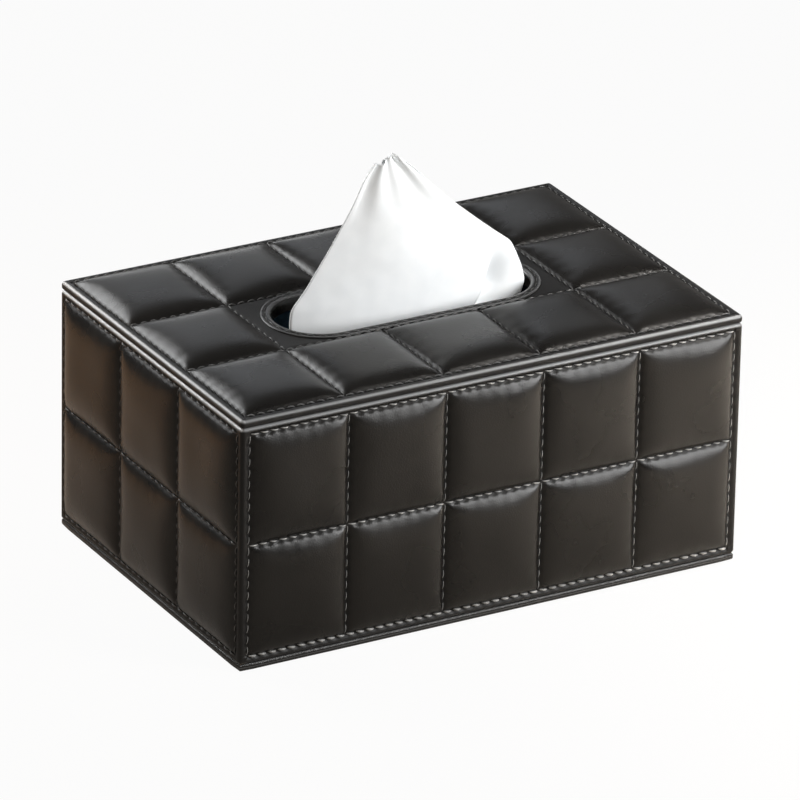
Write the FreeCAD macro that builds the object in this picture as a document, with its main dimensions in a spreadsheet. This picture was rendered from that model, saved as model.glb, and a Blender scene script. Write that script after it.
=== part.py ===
import FreeCAD, Part
import math
import os
import Sketcher

# Tissue box holder: boards wrapped in quilted leather over sponge, a slotted top panel,
# a felt lining, and a base flap that opens on a leather hinge at the back.
# Millimetres. X runs along the box, the front faces -Y, Z is up, and the origin is the
# middle of the underside.

SIZES = {
    # the box over its flat leather margins
    "box_length": 210.0,
    "box_depth": 142.0,
    "box_height": 100.0,
    # layers
    "skin_thick": 0.9,
    "sponge_thick": 0.3,
    "wall_thick": 3.5,
    "panel_thick": 2.0,
    "felt_thick": 0.8,
    # rolled edges and upright corners
    "edge_radius": 1.1,
    "rim_radius": 0.7,
    "corner_radius": 1.6,
    # quilting
    "side_margin": 3.5,
    "edge_margin": 2.8,
    "seam_half_width": 0.45,
    "crown_height": 3.0,
    "pillow_step_height": 0.15,
    "pillow_sink_depth": 0.5,
    "front_cell_count": 5,
    "side_cell_count": 3,
    "wall_row_count": 2,
    "pad_inset": 5.0,
    "pad_slope_width": 6.0,
    "pad_height": 2.1,
    # slot, by the flat leather left between it and the quilted cells, and its leather facing
    "slot_end_gap": 8.9,
    "slot_side_gap": 5.0,
    "facing_thick": 0.7,
    "facing_flange": 4.4,
    "facing_drop": 0.6,
    "facing_bevel": 0.35,
    # base flap
    "lining_clear": 0.5,
    "strip_thick": 0.5,
    "strip_end": 5.0,
    "strip_rise_height": 2.3,
    "strip_foot_depth": 1.9,
    "magnet_length": 20.0,
    "magnet_width": 2.5,
    "magnet_tall": 3.0,
    "magnet_reach": 60.0,
    "keeper_thick": 0.8,
    # the standing tissue
    "sheet_thick": 1.2,
    "sheet_clear": 0.3,
    "sheet_rise_height": 58.0,
    "sheet_drop_depth": 24.0,
    # how far a cut runs past the face it opens
    "overrun": 2.0,
}

doc = FreeCAD.newDocument("tissue_box_holder")
sheet = doc.addObject("Spreadsheet::Sheet", "sizes")
for row, (alias, size) in enumerate(SIZES.items(), start=1):
    sheet.set("A%d" % row, alias)
    sheet.set("B%d" % row, str(size))
    sheet.setAlias("B%d" % row, alias)
doc.recompute()

# Depths and levels that several pieces share, written in the sheet's words.
HALF_LENGTH = "sizes.box_length / 2"
HALF_DEPTH = "sizes.box_depth / 2"
BOARD_FACE = "(sizes.skin_thick + sizes.sponge_thick)"
BOARD_BACK = "(sizes.skin_thick + sizes.sponge_thick + sizes.wall_thick)"
FELT_BACK = "(sizes.skin_thick + sizes.sponge_thick + sizes.wall_thick + sizes.felt_thick)"
TOP_EDGE = "(sizes.skin_thick + sizes.sponge_thick + sizes.panel_thick)"
BASE_EDGE = "(sizes.skin_thick + sizes.panel_thick)"
WALL_TALL = "(sizes.box_height - %s - %s)" % (TOP_EDGE, BASE_EDGE)
LONG_PITCH = "((sizes.box_length - 2 * sizes.side_margin) / sizes.front_cell_count)"
SHORT_PITCH = "((sizes.box_depth - 2 * sizes.side_margin) / sizes.side_cell_count)"
SLOT_LENGTH = "(%s * (sizes.front_cell_count - 2) - 2 * sizes.slot_end_gap)" % LONG_PITCH
SLOT_RADIUS = "(%s / 2 - sizes.slot_side_gap)" % SHORT_PITCH
SLOT_STRAIGHT = "(%s / 2 - %s)" % (SLOT_LENGTH, SLOT_RADIUS)
COLLAR_RADIUS = "(%s + sizes.facing_thick)" % SLOT_RADIUS
INSIDE_LENGTH = "(sizes.box_length / 2 - sizes.skin_thick)"
INSIDE_DEPTH = "(sizes.box_depth / 2 - sizes.skin_thick)"
HANDS = (("left", "-"), ("right", ""))
LEVEL_SLACK = 0.001

node_objects = {}


def value(expression):
    return float(sheet.evalExpression(expression))


def new_body(label):
    body = doc.addObject("PartDesign::Body", label)
    body.Label = label
    node_objects[label] = body
    return body


def origin_feature(body, role):
    return next(item for item in body.Origin.OriginFeatures if item.Role == role)


def new_sketch(body, role, name, offset="0"):
    sketch = body.newObject("Sketcher::SketchObject", name)
    sketch.AttachmentSupport = (origin_feature(body, role), [""])
    sketch.MapMode = "FlatFace"
    sketch.setExpression("AttachmentOffset.Base.z", offset)
    return sketch


def draw(sketch, corners, arcs=None):
    # Closed outline through corners given as pairs of expressions. An arc turns
    # anticlockwise about its centre, from the corner that keys it to the next corner.
    arcs = arcs or {}
    points = [FreeCAD.Vector(value(across), value(up), 0) for across, up in corners]
    count = len(points)
    first = sketch.GeometryCount
    for index, point in enumerate(points):
        following = points[(index + 1) % count]
        if index in arcs:
            centre = FreeCAD.Vector(value(arcs[index][0]), value(arcs[index][1]), 0)
            start = math.atan2(point.y - centre.y, point.x - centre.x)
            stop = math.atan2(following.y - centre.y, following.x - centre.x)
            circle = Part.Circle(centre, FreeCAD.Vector(0, 0, 1), (point - centre).Length)
            sketch.addGeometry(Part.ArcOfCircle(circle, start, stop))
        else:
            sketch.addGeometry(Part.LineSegment(point, following))
    for index in range(count):
        edge = first + index
        following = first + (index + 1) % count
        sketch.addConstraint(Sketcher.Constraint("Coincident", edge, 2, following, 1))
        for axis, expression, size in (
            ("DistanceX", corners[index][0], points[index].x),
            ("DistanceY", corners[index][1], points[index].y),
        ):
            tie = sketch.addConstraint(Sketcher.Constraint(axis, -1, 1, edge, 1, size))
            sketch.renameConstraint(tie, "%s_%d" % (axis.lower(), edge))
            sketch.setExpression("Constraints.%s_%d" % (axis.lower(), edge), expression)
        if index in arcs:
            chord = points[(index + 1) % count] - points[index]
            upright = abs(chord.y) > abs(chord.x)
            axis = "DistanceX" if upright else "DistanceY"
            expression = arcs[index][0] if upright else arcs[index][1]
            tie = sketch.addConstraint(Sketcher.Constraint(axis, -1, 1, edge, 3, value(expression)))
            sketch.renameConstraint(tie, "centre_%d" % edge)
            sketch.setExpression("Constraints.centre_%d" % edge, expression)


def rectangle(left, low, right, high):
    return [(left, low), (right, low), (right, high), (left, high)]


def centred(half_across, half_up):
    return rectangle("-(%s)" % half_across, "-(%s)" % half_up, half_across, half_up)


def rounded(half_across, half_up, bend):
    # A rectangle about the origin with its four corners rounded, for draw.
    inner_x = "(%s - %s)" % (half_across, bend)
    inner_y = "(%s - %s)" % (half_up, bend)
    corners = [
        ("-" + inner_x, "-(%s)" % half_up),
        (inner_x, "-(%s)" % half_up),
        (half_across, "-" + inner_y),
        (half_across, inner_y),
        (inner_x, half_up),
        ("-" + inner_x, half_up),
        ("-(%s)" % half_across, inner_y),
        ("-(%s)" % half_across, "-" + inner_y),
    ]
    centres = {
        1: (inner_x, "-" + inner_y),
        3: (inner_x, inner_y),
        5: ("-" + inner_x, inner_y),
        7: ("-" + inner_x, "-" + inner_y),
    }
    return corners, centres


def draw_stadium(sketch, straight, radius):
    corners = [
        ("-%s" % straight, "-%s" % radius),
        (straight, "-%s" % radius),
        (straight, radius),
        ("-%s" % straight, radius),
    ]
    draw(sketch, corners, {1: (straight, "0"), 3: ("-%s" % straight, "0")})


def pad(body, sketch, depth, down=False, both=False):
    feature = body.newObject("PartDesign::Pad", sketch.Name + "_pad")
    feature.Profile = sketch
    feature.setExpression("Length", depth)
    feature.Reversed = down
    feature.Midplane = both
    doc.recompute()
    return feature


def pocket(body, sketch, depth, up=False):
    before = body.Shape.Volume
    feature = body.newObject("PartDesign::Pocket", sketch.Name + "_pocket")
    feature.Profile = sketch
    feature.setExpression("Length", depth)
    feature.Reversed = up
    doc.recompute()
    if body.Shape.Volume >= before:
        raise RuntimeError("%s cuts nothing" % feature.Name)
    return feature


def loft(body, kind, name, sketches):
    feature = body.newObject("PartDesign::" + kind, name)
    feature.Profile = sketches[0]
    feature.Sections = sketches[1:]
    feature.Ruled = True
    doc.recompute()
    return feature


def repeat(body, feature, columns, column_pitch, rows=None, row_pitch=None):
    pattern = body.newObject("PartDesign::LinearPattern", feature.Name + "_pattern")
    pattern.Originals = [feature]
    pattern.Direction = (origin_feature(body, "X_Axis"), [""])
    pattern.setExpression("Length", "%s * (%s - 1)" % (column_pitch, columns))
    pattern.setExpression("Occurrences", columns)
    if rows:
        pattern.Direction2 = (origin_feature(body, "Y_Axis"), [""])
        pattern.setExpression("Length2", "%s * (%s - 1)" % (row_pitch, rows))
        pattern.setExpression("Occurrences2", rows)
    body.Tip = pattern
    doc.recompute()
    return pattern


def level_picker(height):
    # Chooses the edges that lie flat at one height.
    def picks(edge):
        box = edge.BoundBox
        return max(abs(box.ZMin - height), abs(box.ZMax - height)) < LEVEL_SLACK
    return picks


def ease_edges(body, kind, name, picks, size):
    # Round or bevel the edges that picks chooses.
    base = body.Tip
    feature = body.newObject("PartDesign::" + kind, name)
    names = ["Edge%d" % (number + 1) for number, edge in enumerate(base.Shape.Edges) if picks(edge)]
    feature.Base = (base, names)
    feature.setExpression("Radius" if kind == "Fillet" else "Size", size)
    body.Tip = feature
    doc.recompute()


class Cells:
    # The grid of quilted cells on one panel: X along the panel, Y across it, both from the
    # border stitch lines.
    def __init__(self, run, columns, low, high, rows):
        self.columns = columns
        self.rows = rows
        self.pitch_x = "((%s - 2 * sizes.side_margin) / %s)" % (run, columns)
        self.pitch_y = "((%s - %s) / %s)" % (high, low, rows)
        self.left = "(sizes.side_margin - %s / 2)" % run
        self.low = low


# How full a pillow stands along its cell: places along the cell and the crown there.
PILLOW_PLACE_SHARES = (0.0, 0.12, 0.35, 0.65, 0.88, 1.0)
PILLOW_CROWN_SHARES = (0.15, 0.65, 1.0, 1.0, 0.65, 0.15)


def pillow(body, name, cells, row):
    # One crowned cell, lofted along X through upright sections with an arched top.
    start = "(%s + sizes.seam_half_width)" % cells.left
    run = "(%s - 2 * sizes.seam_half_width)" % cells.pitch_x
    low = "(%s + %d * %s + sizes.seam_half_width)" % (cells.low, row, cells.pitch_y)
    chord = "(%s - 2 * sizes.seam_half_width)" % cells.pitch_y
    high = "(%s + %s)" % (low, chord)
    sections = []
    for number, place_share in enumerate(PILLOW_PLACE_SHARES):
        rise = "(%s * sizes.crown_height)" % PILLOW_CROWN_SHARES[number]
        radius = "((%s ^ 2 / 4 + %s ^ 2) / (2 * %s))" % (chord, rise, rise)
        centre = ("(%s + %s / 2)" % (low, chord), "(sizes.pillow_step_height + %s - %s)" % (rise, radius))
        place = "%s + %s * %s" % (start, place_share, run)
        section = new_sketch(body, "YZ_Plane", "%s_section_%d" % (name, number), place)
        corners = rectangle(low, "-sizes.pillow_sink_depth", high, "sizes.pillow_step_height")
        draw(section, corners, {2: centre})
        sections.append(section)
    return loft(body, "AdditiveLoft", name, sections)


def sponge_pad(body, kind, name, cells, row):
    # The sponge under one cell: a low pad with sloped sides, which the skin is hollowed for.
    # The wedge stands on the plane across the panel, so its own Y is the panel's Z.
    left = "%s + sizes.pad_inset" % cells.left
    right = "%s + %s - sizes.pad_inset" % (cells.left, cells.pitch_x)
    far = "-(%s + %d * %s - sizes.pad_inset)" % (cells.low, row + 1, cells.pitch_y)
    near = "-(%s + %d * %s + sizes.pad_inset)" % (cells.low, row, cells.pitch_y)
    limits = {
        "Xmin": left,
        "X2min": left + " + sizes.pad_slope_width",
        "X2max": right + " - sizes.pad_slope_width",
        "Xmax": right,
        "Ymin": "-sizes.skin_thick",
        "Ymax": "sizes.pad_height - sizes.skin_thick",
        "Zmin": far,
        "Z2min": far + " + sizes.pad_slope_width",
        "Z2max": near + " - sizes.pad_slope_width",
        "Zmax": near,
    }
    before = body.Shape.Volume
    feature = body.newObject("PartDesign::" + kind, name)
    feature.AttachmentSupport = (origin_feature(body, "XZ_Plane"), [""])
    feature.MapMode = "FlatFace"
    for limit, expression in limits.items():
        setattr(feature, limit, value(expression))
        feature.setExpression(limit, expression)
    doc.recompute()
    if abs(body.Shape.Volume - before) < LEVEL_SLACK:
        raise RuntimeError("%s changes nothing" % name)
    return feature


def place_wall(thing, side):
    # A wall is drawn with X along it, Y up it and Z outwards from its flat leather margin.
    turn = FreeCAD.Rotation(FreeCAD.Vector(0, 0, 1), side["turn"])
    lean = FreeCAD.Rotation(FreeCAD.Vector(1, 0, 0), 90)
    thing.Placement = FreeCAD.Placement(FreeCAD.Vector(0, 0, 0), turn * lean)
    thing.setExpression("Placement.Base.x", side["x"])
    thing.setExpression("Placement.Base.y", side["y"])
    thing.setExpression("Placement.Base.z", BASE_EDGE)


LONG = {
    "run": "sizes.box_length",
    "columns": "sizes.front_cell_count",
    "board_end": BOARD_FACE,
    "felt_end": BOARD_BACK,
}
SHORT = {
    "run": "sizes.box_depth",
    "columns": "sizes.side_cell_count",
    "board_end": BOARD_BACK,
    "felt_end": FELT_BACK,
}
SIDES = {
    "front": dict(LONG, turn=0, x="0", y="-%s" % HALF_DEPTH),
    "back": dict(LONG, turn=180, x="0", y=HALF_DEPTH),
    "left": dict(SHORT, turn=-90, x="-%s" % HALF_LENGTH, y="0"),
    "right": dict(SHORT, turn=90, x=HALF_LENGTH, y="0"),
}


def wall_cells(side):
    high = "(%s - sizes.edge_margin)" % WALL_TALL
    return Cells(side["run"], side["columns"], "sizes.edge_margin", high, "sizes.wall_row_count")


def wall_cover(name, side):
    # Quilted leather: a channel that rolls over the board's top and bottom edges, mitred
    # at both upright corners, with crowned cells outside and hollows for the sponge inside.
    body = new_body(name + "_cover")
    half_run = "(%s / 2)" % side["run"]
    profile = new_sketch(body, "YZ_Plane", name + "_channel")
    roll = "sizes.edge_radius"
    top = WALL_TALL
    corners = [
        (roll, "0"),
        ("0", "-" + roll),
        ("0", "-" + BOARD_BACK),
        ("sizes.skin_thick", "-" + BOARD_BACK),
        ("sizes.skin_thick", "-sizes.skin_thick"),
        ("%s - sizes.skin_thick" % top, "-sizes.skin_thick"),
        ("%s - sizes.skin_thick" % top, "-" + BOARD_BACK),
        (top, "-" + BOARD_BACK),
        (top, "-" + roll),
        ("%s - %s" % (top, roll), "0"),
    ]
    rolls = {0: (roll, "-" + roll), 8: ("%s - %s" % (top, roll), "-" + roll)}
    draw(profile, corners, rolls)
    pad(body, profile, side["run"], both=True)
    bend = "sizes.corner_radius"
    meet = "(%s * (1 - sqrt(2) / 2))" % bend
    deep = "(%s + sizes.overrun)" % BOARD_BACK
    for hand, sign in HANDS:
        mitre = new_sketch(body, "XZ_Plane", "%s_mitre_%s" % (name, hand), "sizes.overrun")
        corners = [
            ("%s(%s - %s)" % (sign, half_run, bend), "sizes.overrun"),
            ("%s(%s - %s)" % (sign, half_run, bend), "0"),
            ("%s(%s - %s)" % (sign, half_run, meet), "-" + meet),
            ("%s(%s - %s)" % (sign, half_run, deep), "-" + deep),
            ("%s(%s + sizes.overrun)" % (sign, half_run), "-" + deep),
            ("%s(%s + sizes.overrun)" % (sign, half_run), "sizes.overrun"),
        ]
        centre = ("%s(%s - %s)" % (sign, half_run, bend), "-" + bend)
        if sign:
            draw(mitre, corners, {1: centre})
        else:
            draw(mitre, corners[::-1], {3: centre})
        pocket(body, mitre, "%s + 2 * sizes.overrun" % WALL_TALL)
    cells = wall_cells(side)
    crown = pillow(body, name + "_pillow", cells, 0)
    repeat(body, crown, cells.columns, cells.pitch_x, cells.rows, cells.pitch_y)
    hollow = sponge_pad(body, "SubtractiveWedge", name + "_hollow", cells, 0)
    repeat(body, hollow, cells.columns, cells.pitch_x, cells.rows, cells.pitch_y)
    place_wall(body, side)


def wall_foam(name, side):
    body = new_body(name + "_foam")
    half_run = "(%s / 2 - %s)" % (side["run"], BOARD_FACE)
    blank = new_sketch(body, "XY_Plane", name + "_sponge", "-sizes.skin_thick")
    corners = rectangle("-" + half_run, "sizes.skin_thick", half_run, "%s - sizes.skin_thick" % WALL_TALL)
    draw(blank, corners)
    pad(body, blank, "sizes.sponge_thick", down=True)
    cells = wall_cells(side)
    swell = sponge_pad(body, "AdditiveWedge", name + "_swell", cells, 0)
    repeat(body, swell, cells.columns, cells.pitch_x, cells.rows, cells.pitch_y)
    place_wall(body, side)


def wall_board(name, side):
    body = new_body(name + "_board")
    half_run = "(%s / 2 - %s)" % (side["run"], side["board_end"])
    blank = new_sketch(body, "XY_Plane", name + "_panel", "-" + BOARD_FACE)
    corners = rectangle("-" + half_run, "sizes.skin_thick", half_run, "%s - sizes.skin_thick" % WALL_TALL)
    draw(blank, corners)
    pad(body, blank, "sizes.wall_thick", down=True)
    place_wall(body, side)
    return body


def wall_lining(name, side):
    body = new_body(name + "_lining")
    half_run = "(%s / 2 - %s)" % (side["run"], side["felt_end"])
    blank = new_sketch(body, "XY_Plane", name + "_felt", "-" + BOARD_BACK)
    draw(blank, rectangle("-" + half_run, "0", half_run, "%s - sizes.felt_thick" % WALL_TALL))
    pad(body, blank, "sizes.felt_thick", down=True)
    place_wall(body, side)


for side_name, side_facts in SIDES.items():
    wall_cover(side_name, side_facts)
    wall_foam(side_name, side_facts)
    wall_board(side_name, side_facts)
    wall_lining(side_name, side_facts)


def panel_cover(label, edge, face_level, face_up):
    # A shallow leather tray over one face of a board, rolled at its outer edge and turned
    # over the board's edges. face_up is True where the covered face looks up.
    body = new_body(label)
    blank = new_sketch(body, "XY_Plane", label + "_blank", face_level)
    corners, centres = rounded(HALF_LENGTH, HALF_DEPTH, "sizes.corner_radius")
    draw(blank, corners, centres)
    pad(body, blank, edge, down=face_up)
    open_level = "%s - %s" % (face_level, edge) if face_up else "%s + %s" % (face_level, edge)
    for level, radius in ((face_level, "sizes.edge_radius"), (open_level, "sizes.rim_radius")):
        ease_edges(body, "Fillet", label + "_roll", level_picker(value(level)), radius)
    recess = new_sketch(body, "XY_Plane", label + "_recess", open_level)
    draw(recess, centred(INSIDE_LENGTH, INSIDE_DEPTH))
    pocket(body, recess, "%s - sizes.skin_thick" % edge, up=face_up)
    return body


def cut_slot(body, name, top_level, depth):
    outline = new_sketch(body, "XY_Plane", name, "%s + sizes.overrun" % top_level)
    draw_stadium(outline, SLOT_STRAIGHT, COLLAR_RADIUS)
    pocket(body, outline, "%s + 2 * sizes.overrun" % depth)


def flat_panel(label, half_across, half_up, top_level, depth):
    body = new_body(label)
    blank = new_sketch(body, "XY_Plane", label + "_blank", top_level)
    draw(blank, centred(half_across, half_up))
    pad(body, blank, depth, down=True)
    return body


# Top panel, drawn with its flat leather margin at Z = 0.
top_low = "(sizes.side_margin - %s)" % HALF_DEPTH
top_high = "(%s - sizes.side_margin)" % HALF_DEPTH
top_cells = Cells("sizes.box_length", "sizes.front_cell_count", top_low, top_high, "sizes.side_cell_count")
outer_rows = "((sizes.side_cell_count + 1) / 2)"
end_pitch = "((sizes.front_cell_count - 1) * %s)" % top_cells.pitch_x


def quilt_top(body, name, make):
    # Full rows at the front and the back, and one cell at each end of the slot's row.
    full = make(name + "_row", 0)
    row_pitch = "(2 * %s)" % top_cells.pitch_y
    repeat(body, full, top_cells.columns, top_cells.pitch_x, outer_rows, row_pitch)
    ends = make(name + "_end", 1)
    repeat(body, ends, "2", end_pitch)


def top_cover():
    body = panel_cover("top_cover", TOP_EDGE, "0", True)
    cut_slot(body, "top_cover_slot", "0", TOP_EDGE)

    def crown(name, row):
        return pillow(body, name, top_cells, row)

    def hollow(name, row):
        return sponge_pad(body, "SubtractiveWedge", name, top_cells, row)

    quilt_top(body, "top_pillow", crown)
    quilt_top(body, "top_hollow", hollow)
    return body


def top_foam():
    body = flat_panel("top_foam", INSIDE_LENGTH, INSIDE_DEPTH, "-sizes.skin_thick", "sizes.sponge_thick")
    cut_slot(body, "top_foam_slot", "-sizes.skin_thick", "sizes.sponge_thick")

    def swell(name, row):
        return sponge_pad(body, "AdditiveWedge", name, top_cells, row)

    quilt_top(body, "top_swell", swell)
    return body


def top_board():
    body = flat_panel("top_board", INSIDE_LENGTH, INSIDE_DEPTH, "-" + BOARD_FACE, "sizes.panel_thick")
    cut_slot(body, "top_board_slot", "-" + BOARD_FACE, "sizes.panel_thick")
    return body


def top_lining():
    half_across = "(%s - %s)" % (HALF_LENGTH, BOARD_BACK)
    half_up = "(%s - %s)" % (HALF_DEPTH, BOARD_BACK)
    body = flat_panel("top_lining", half_across, half_up, "-" + TOP_EDGE, "sizes.felt_thick")
    cut_slot(body, "top_lining_slot", "-" + TOP_EDGE, "sizes.felt_thick")
    return body


def slot_facing():
    # Leather turned over the slot's edge: a flange on the top panel and a collar through it.
    body = new_body("slot_facing")
    flange_radius = "(%s + sizes.facing_flange)" % SLOT_RADIUS
    flange = new_sketch(body, "XY_Plane", "facing_flange")
    draw_stadium(flange, SLOT_STRAIGHT, flange_radius)
    draw_stadium(flange, SLOT_STRAIGHT, SLOT_RADIUS)
    pad(body, flange, "sizes.facing_thick")
    collar = new_sketch(body, "XY_Plane", "facing_collar")
    draw_stadium(collar, SLOT_STRAIGHT, COLLAR_RADIUS)
    draw_stadium(collar, SLOT_STRAIGHT, SLOT_RADIUS)
    pad(body, collar, "%s + sizes.felt_thick + sizes.facing_drop" % TOP_EDGE, down=True)
    on_top = level_picker(value("sizes.facing_thick"))
    ease_edges(body, "Chamfer", "facing_bevel", on_top, "sizes.facing_bevel")
    return body


for make_piece in (top_cover, top_foam, top_board, top_lining, slot_facing):
    make_piece().setExpression("Placement.Base.z", "sizes.box_height")

# Base flap, drawn with the underside at Z = 0.
MAGNET_LINE = "(%s + sizes.wall_thick / 2 - %s)" % (BOARD_FACE, HALF_DEPTH)


def bar_outline(sign, line):
    # The plan of one magnet or keeper: sign picks the hand, line is its middle.
    middle = "%ssizes.magnet_reach" % sign
    return rectangle(
        "%s - sizes.magnet_length / 2" % middle,
        "%s - sizes.magnet_width / 2" % line,
        "%s + sizes.magnet_length / 2" % middle,
        "%s + sizes.magnet_width / 2" % line,
    )


def base_board():
    body = flat_panel("base_board", INSIDE_LENGTH, INSIDE_DEPTH, BASE_EDGE, "sizes.panel_thick")
    for hand, sign in HANDS:
        bed = new_sketch(body, "XY_Plane", "keeper_bed_" + hand, BASE_EDGE)
        draw(bed, bar_outline(sign, MAGNET_LINE))
        pocket(body, bed, "sizes.keeper_thick")


def magnet_beds(body):
    # Two slots in the bottom edge of the front board. The wall's Z points outwards.
    for hand, sign in HANDS:
        bed = new_sketch(body, "XZ_Plane", "magnet_bed_" + hand, "-sizes.skin_thick")
        draw(bed, bar_outline(sign, "-(%s + sizes.wall_thick / 2)" % BOARD_FACE))
        pocket(body, bed, "sizes.magnet_tall")


def bars(label, tall, level):
    # Two equal bars along the front edge, kept together in one node.
    links = []
    for hand, sign in HANDS:
        bar = doc.addObject("Part::Box", "%s_%s" % (label, hand))
        bar.setExpression("Length", "sizes.magnet_length")
        bar.setExpression("Width", "sizes.magnet_width")
        bar.setExpression("Height", tall)
        bar.setExpression("Placement.Base.x", "%ssizes.magnet_reach - sizes.magnet_length / 2" % sign)
        bar.setExpression("Placement.Base.y", "%s - sizes.magnet_width / 2" % MAGNET_LINE)
        bar.setExpression("Placement.Base.z", level)
        links.append(bar)
    group = doc.addObject("Part::Compound", label)
    group.Label = label
    group.Links = links
    node_objects[label] = group


def hinge_strip():
    # The leather that joins the base flap to the back wall and bends as the flap opens.
    strip = doc.addObject("Part::Box", "hinge_strip")
    strip.setExpression("Length", "sizes.box_length - 2 * sizes.strip_end")
    strip.setExpression("Width", "sizes.strip_thick")
    strip.setExpression("Height", "sizes.strip_foot_depth + sizes.strip_rise_height")
    strip.setExpression("Placement.Base.x", "sizes.strip_end - %s" % HALF_LENGTH)
    strip.setExpression("Placement.Base.y", HALF_DEPTH)
    strip.setExpression("Placement.Base.z", "%s - sizes.strip_foot_depth" % BASE_EDGE)
    node_objects["hinge_strip"] = strip


panel_cover("base_cover", BASE_EDGE, "0", False)
base_board()
flat_panel(
    "base_lining",
    "(%s - %s - sizes.lining_clear)" % (HALF_LENGTH, FELT_BACK),
    "(%s - %s - sizes.lining_clear)" % (HALF_DEPTH, FELT_BACK),
    "(%s + sizes.felt_thick)" % BASE_EDGE,
    "sizes.felt_thick",
)
magnet_beds(node_objects["front_board"])
bars("wall_magnets", "sizes.magnet_tall", "%s + sizes.skin_thick" % BASE_EDGE)
bars("base_keepers", "sizes.keeper_thick", "%s - sizes.keeper_thick" % BASE_EDGE)
hinge_strip()

# The tissue that stands in the slot: a hollow, creased tent, open below.
# Each row of shares is one level: height above the top panel over the sheet's rise, then
# the left corner, the crease and the right corner along the slot over its half length,
# and the corners, the crease and the back across it over its half width.
TISSUE_SHARES = (
    (0.00, -0.88, 0.30, 0.84, -0.66, -0.95, 0.16),
    (0.26, -0.74, 0.34, 0.86, -0.50, -0.76, 0.16),
    (0.62, -0.44, 0.14, 0.42, -0.34, -0.48, 0.16),
    (0.83, -0.31, 0.00, 0.18, -0.24, -0.33, 0.12),
    (1.00, -0.25, -0.12, -0.03, -0.14, -0.20, 0.06),
)
LEFT_FOLD_SHARE = 0.055
RIGHT_FOLD_SHARE = 0.05
BACK_FOLD_SHARE = 0.03


def bowed(start, stop, share):
    # The fold point halfway from start to stop, bowed to the right by a share of the chord.
    chord = stop - start
    return (start + stop) / 2 + FreeCAD.Vector(chord.y, -chord.x, 0) * share


def tissue_ring(shares, level, inset):
    half_long = value("%s / 2 - sizes.sheet_clear" % SLOT_LENGTH)
    half_wide = value("%s - sizes.sheet_clear" % SLOT_RADIUS)
    left = shares[1] * half_long + inset
    crease = shares[2] * half_long
    right = shares[3] * half_long - inset
    side_y = shares[4] * half_wide + inset
    crease_y = shares[5] * half_wide + inset
    back_y = shares[6] * half_wide - inset
    corners = [
        FreeCAD.Vector(left, side_y, level),
        FreeCAD.Vector(crease, crease_y, level),
        FreeCAD.Vector(right, side_y, level),
        FreeCAD.Vector(right, back_y, level),
        FreeCAD.Vector(left, back_y, level),
    ]
    fold_shares = (LEFT_FOLD_SHARE, RIGHT_FOLD_SHARE, 0, BACK_FOLD_SHARE, 0)
    outline = []
    for index, share in enumerate(fold_shares):
        outline.append(corners[index])
        if share:
            outline.append(bowed(corners[index], corners[(index + 1) % len(corners)], share))
    return outline


def closed(points):
    return Part.makePolygon(points + points[:1])


def skin_between(lower, upper):
    # The flat facets between two rings of fold points.
    facets = []
    for index, start in enumerate(lower):
        following = (index + 1) % len(lower)
        for corners in (
            [start, lower[following], upper[following]],
            [start, upper[following], upper[index]],
        ):
            facets.append(Part.Face(closed(corners)))
    return facets


def tissue():
    rim = value("sizes.box_height")
    rise = value("sizes.sheet_rise_height")
    wall = value("sizes.sheet_thick")
    foot = rim - value("sizes.sheet_drop_depth")
    outer = [tissue_ring(TISSUE_SHARES[0], foot, 0)]
    inner = [tissue_ring(TISSUE_SHARES[0], foot, wall)]
    for shares in TISSUE_SHARES:
        outer.append(tissue_ring(shares, rim + shares[0] * rise, 0))
    for shares in TISSUE_SHARES[:-1]:
        inner.append(tissue_ring(shares, rim + shares[0] * rise - wall, wall))
    faces = [
        Part.Face(closed(outer[0])).cut(Part.Face(closed(inner[0]))).Faces[0],
        Part.Face(closed(outer[-1])),
        Part.Face(closed(inner[-1])),
    ]
    for rings in (outer, inner):
        for lower, upper in zip(rings, rings[1:]):
            faces += skin_between(lower, upper)
    shell = Part.Shell(faces)
    shell.sewShape()
    solid = Part.Solid(shell)
    if solid.Volume < 0:
        solid.reverse()
    sheet_piece = doc.addObject("Part::Feature", "tissue")
    sheet_piece.Shape = solid
    node_objects["tissue"] = sheet_piece


tissue()
doc.recompute()

for item in doc.Objects:
    if "Invalid" in item.State or "Error" in item.State:
        raise RuntimeError("%s failed: %s" % (item.Label, item.State))
for label, thing in node_objects.items():
    shape = thing.Shape
    if shape.isNull() or not shape.isValid() or not shape.Solids:
        raise RuntimeError("%s has no sound shape" % label)

os.makedirs("parts", exist_ok=True)
for label, thing in node_objects.items():
    thing.Shape.exportStep(os.path.join("parts", label + ".step"))
    print("%-14s %d solid(s) %9.1f mm3" % (label, len(thing.Shape.Solids), thing.Shape.Volume))
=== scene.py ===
import math

import bmesh
import bpy
import numpy as np
from mathutils import Matrix, Vector


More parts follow.
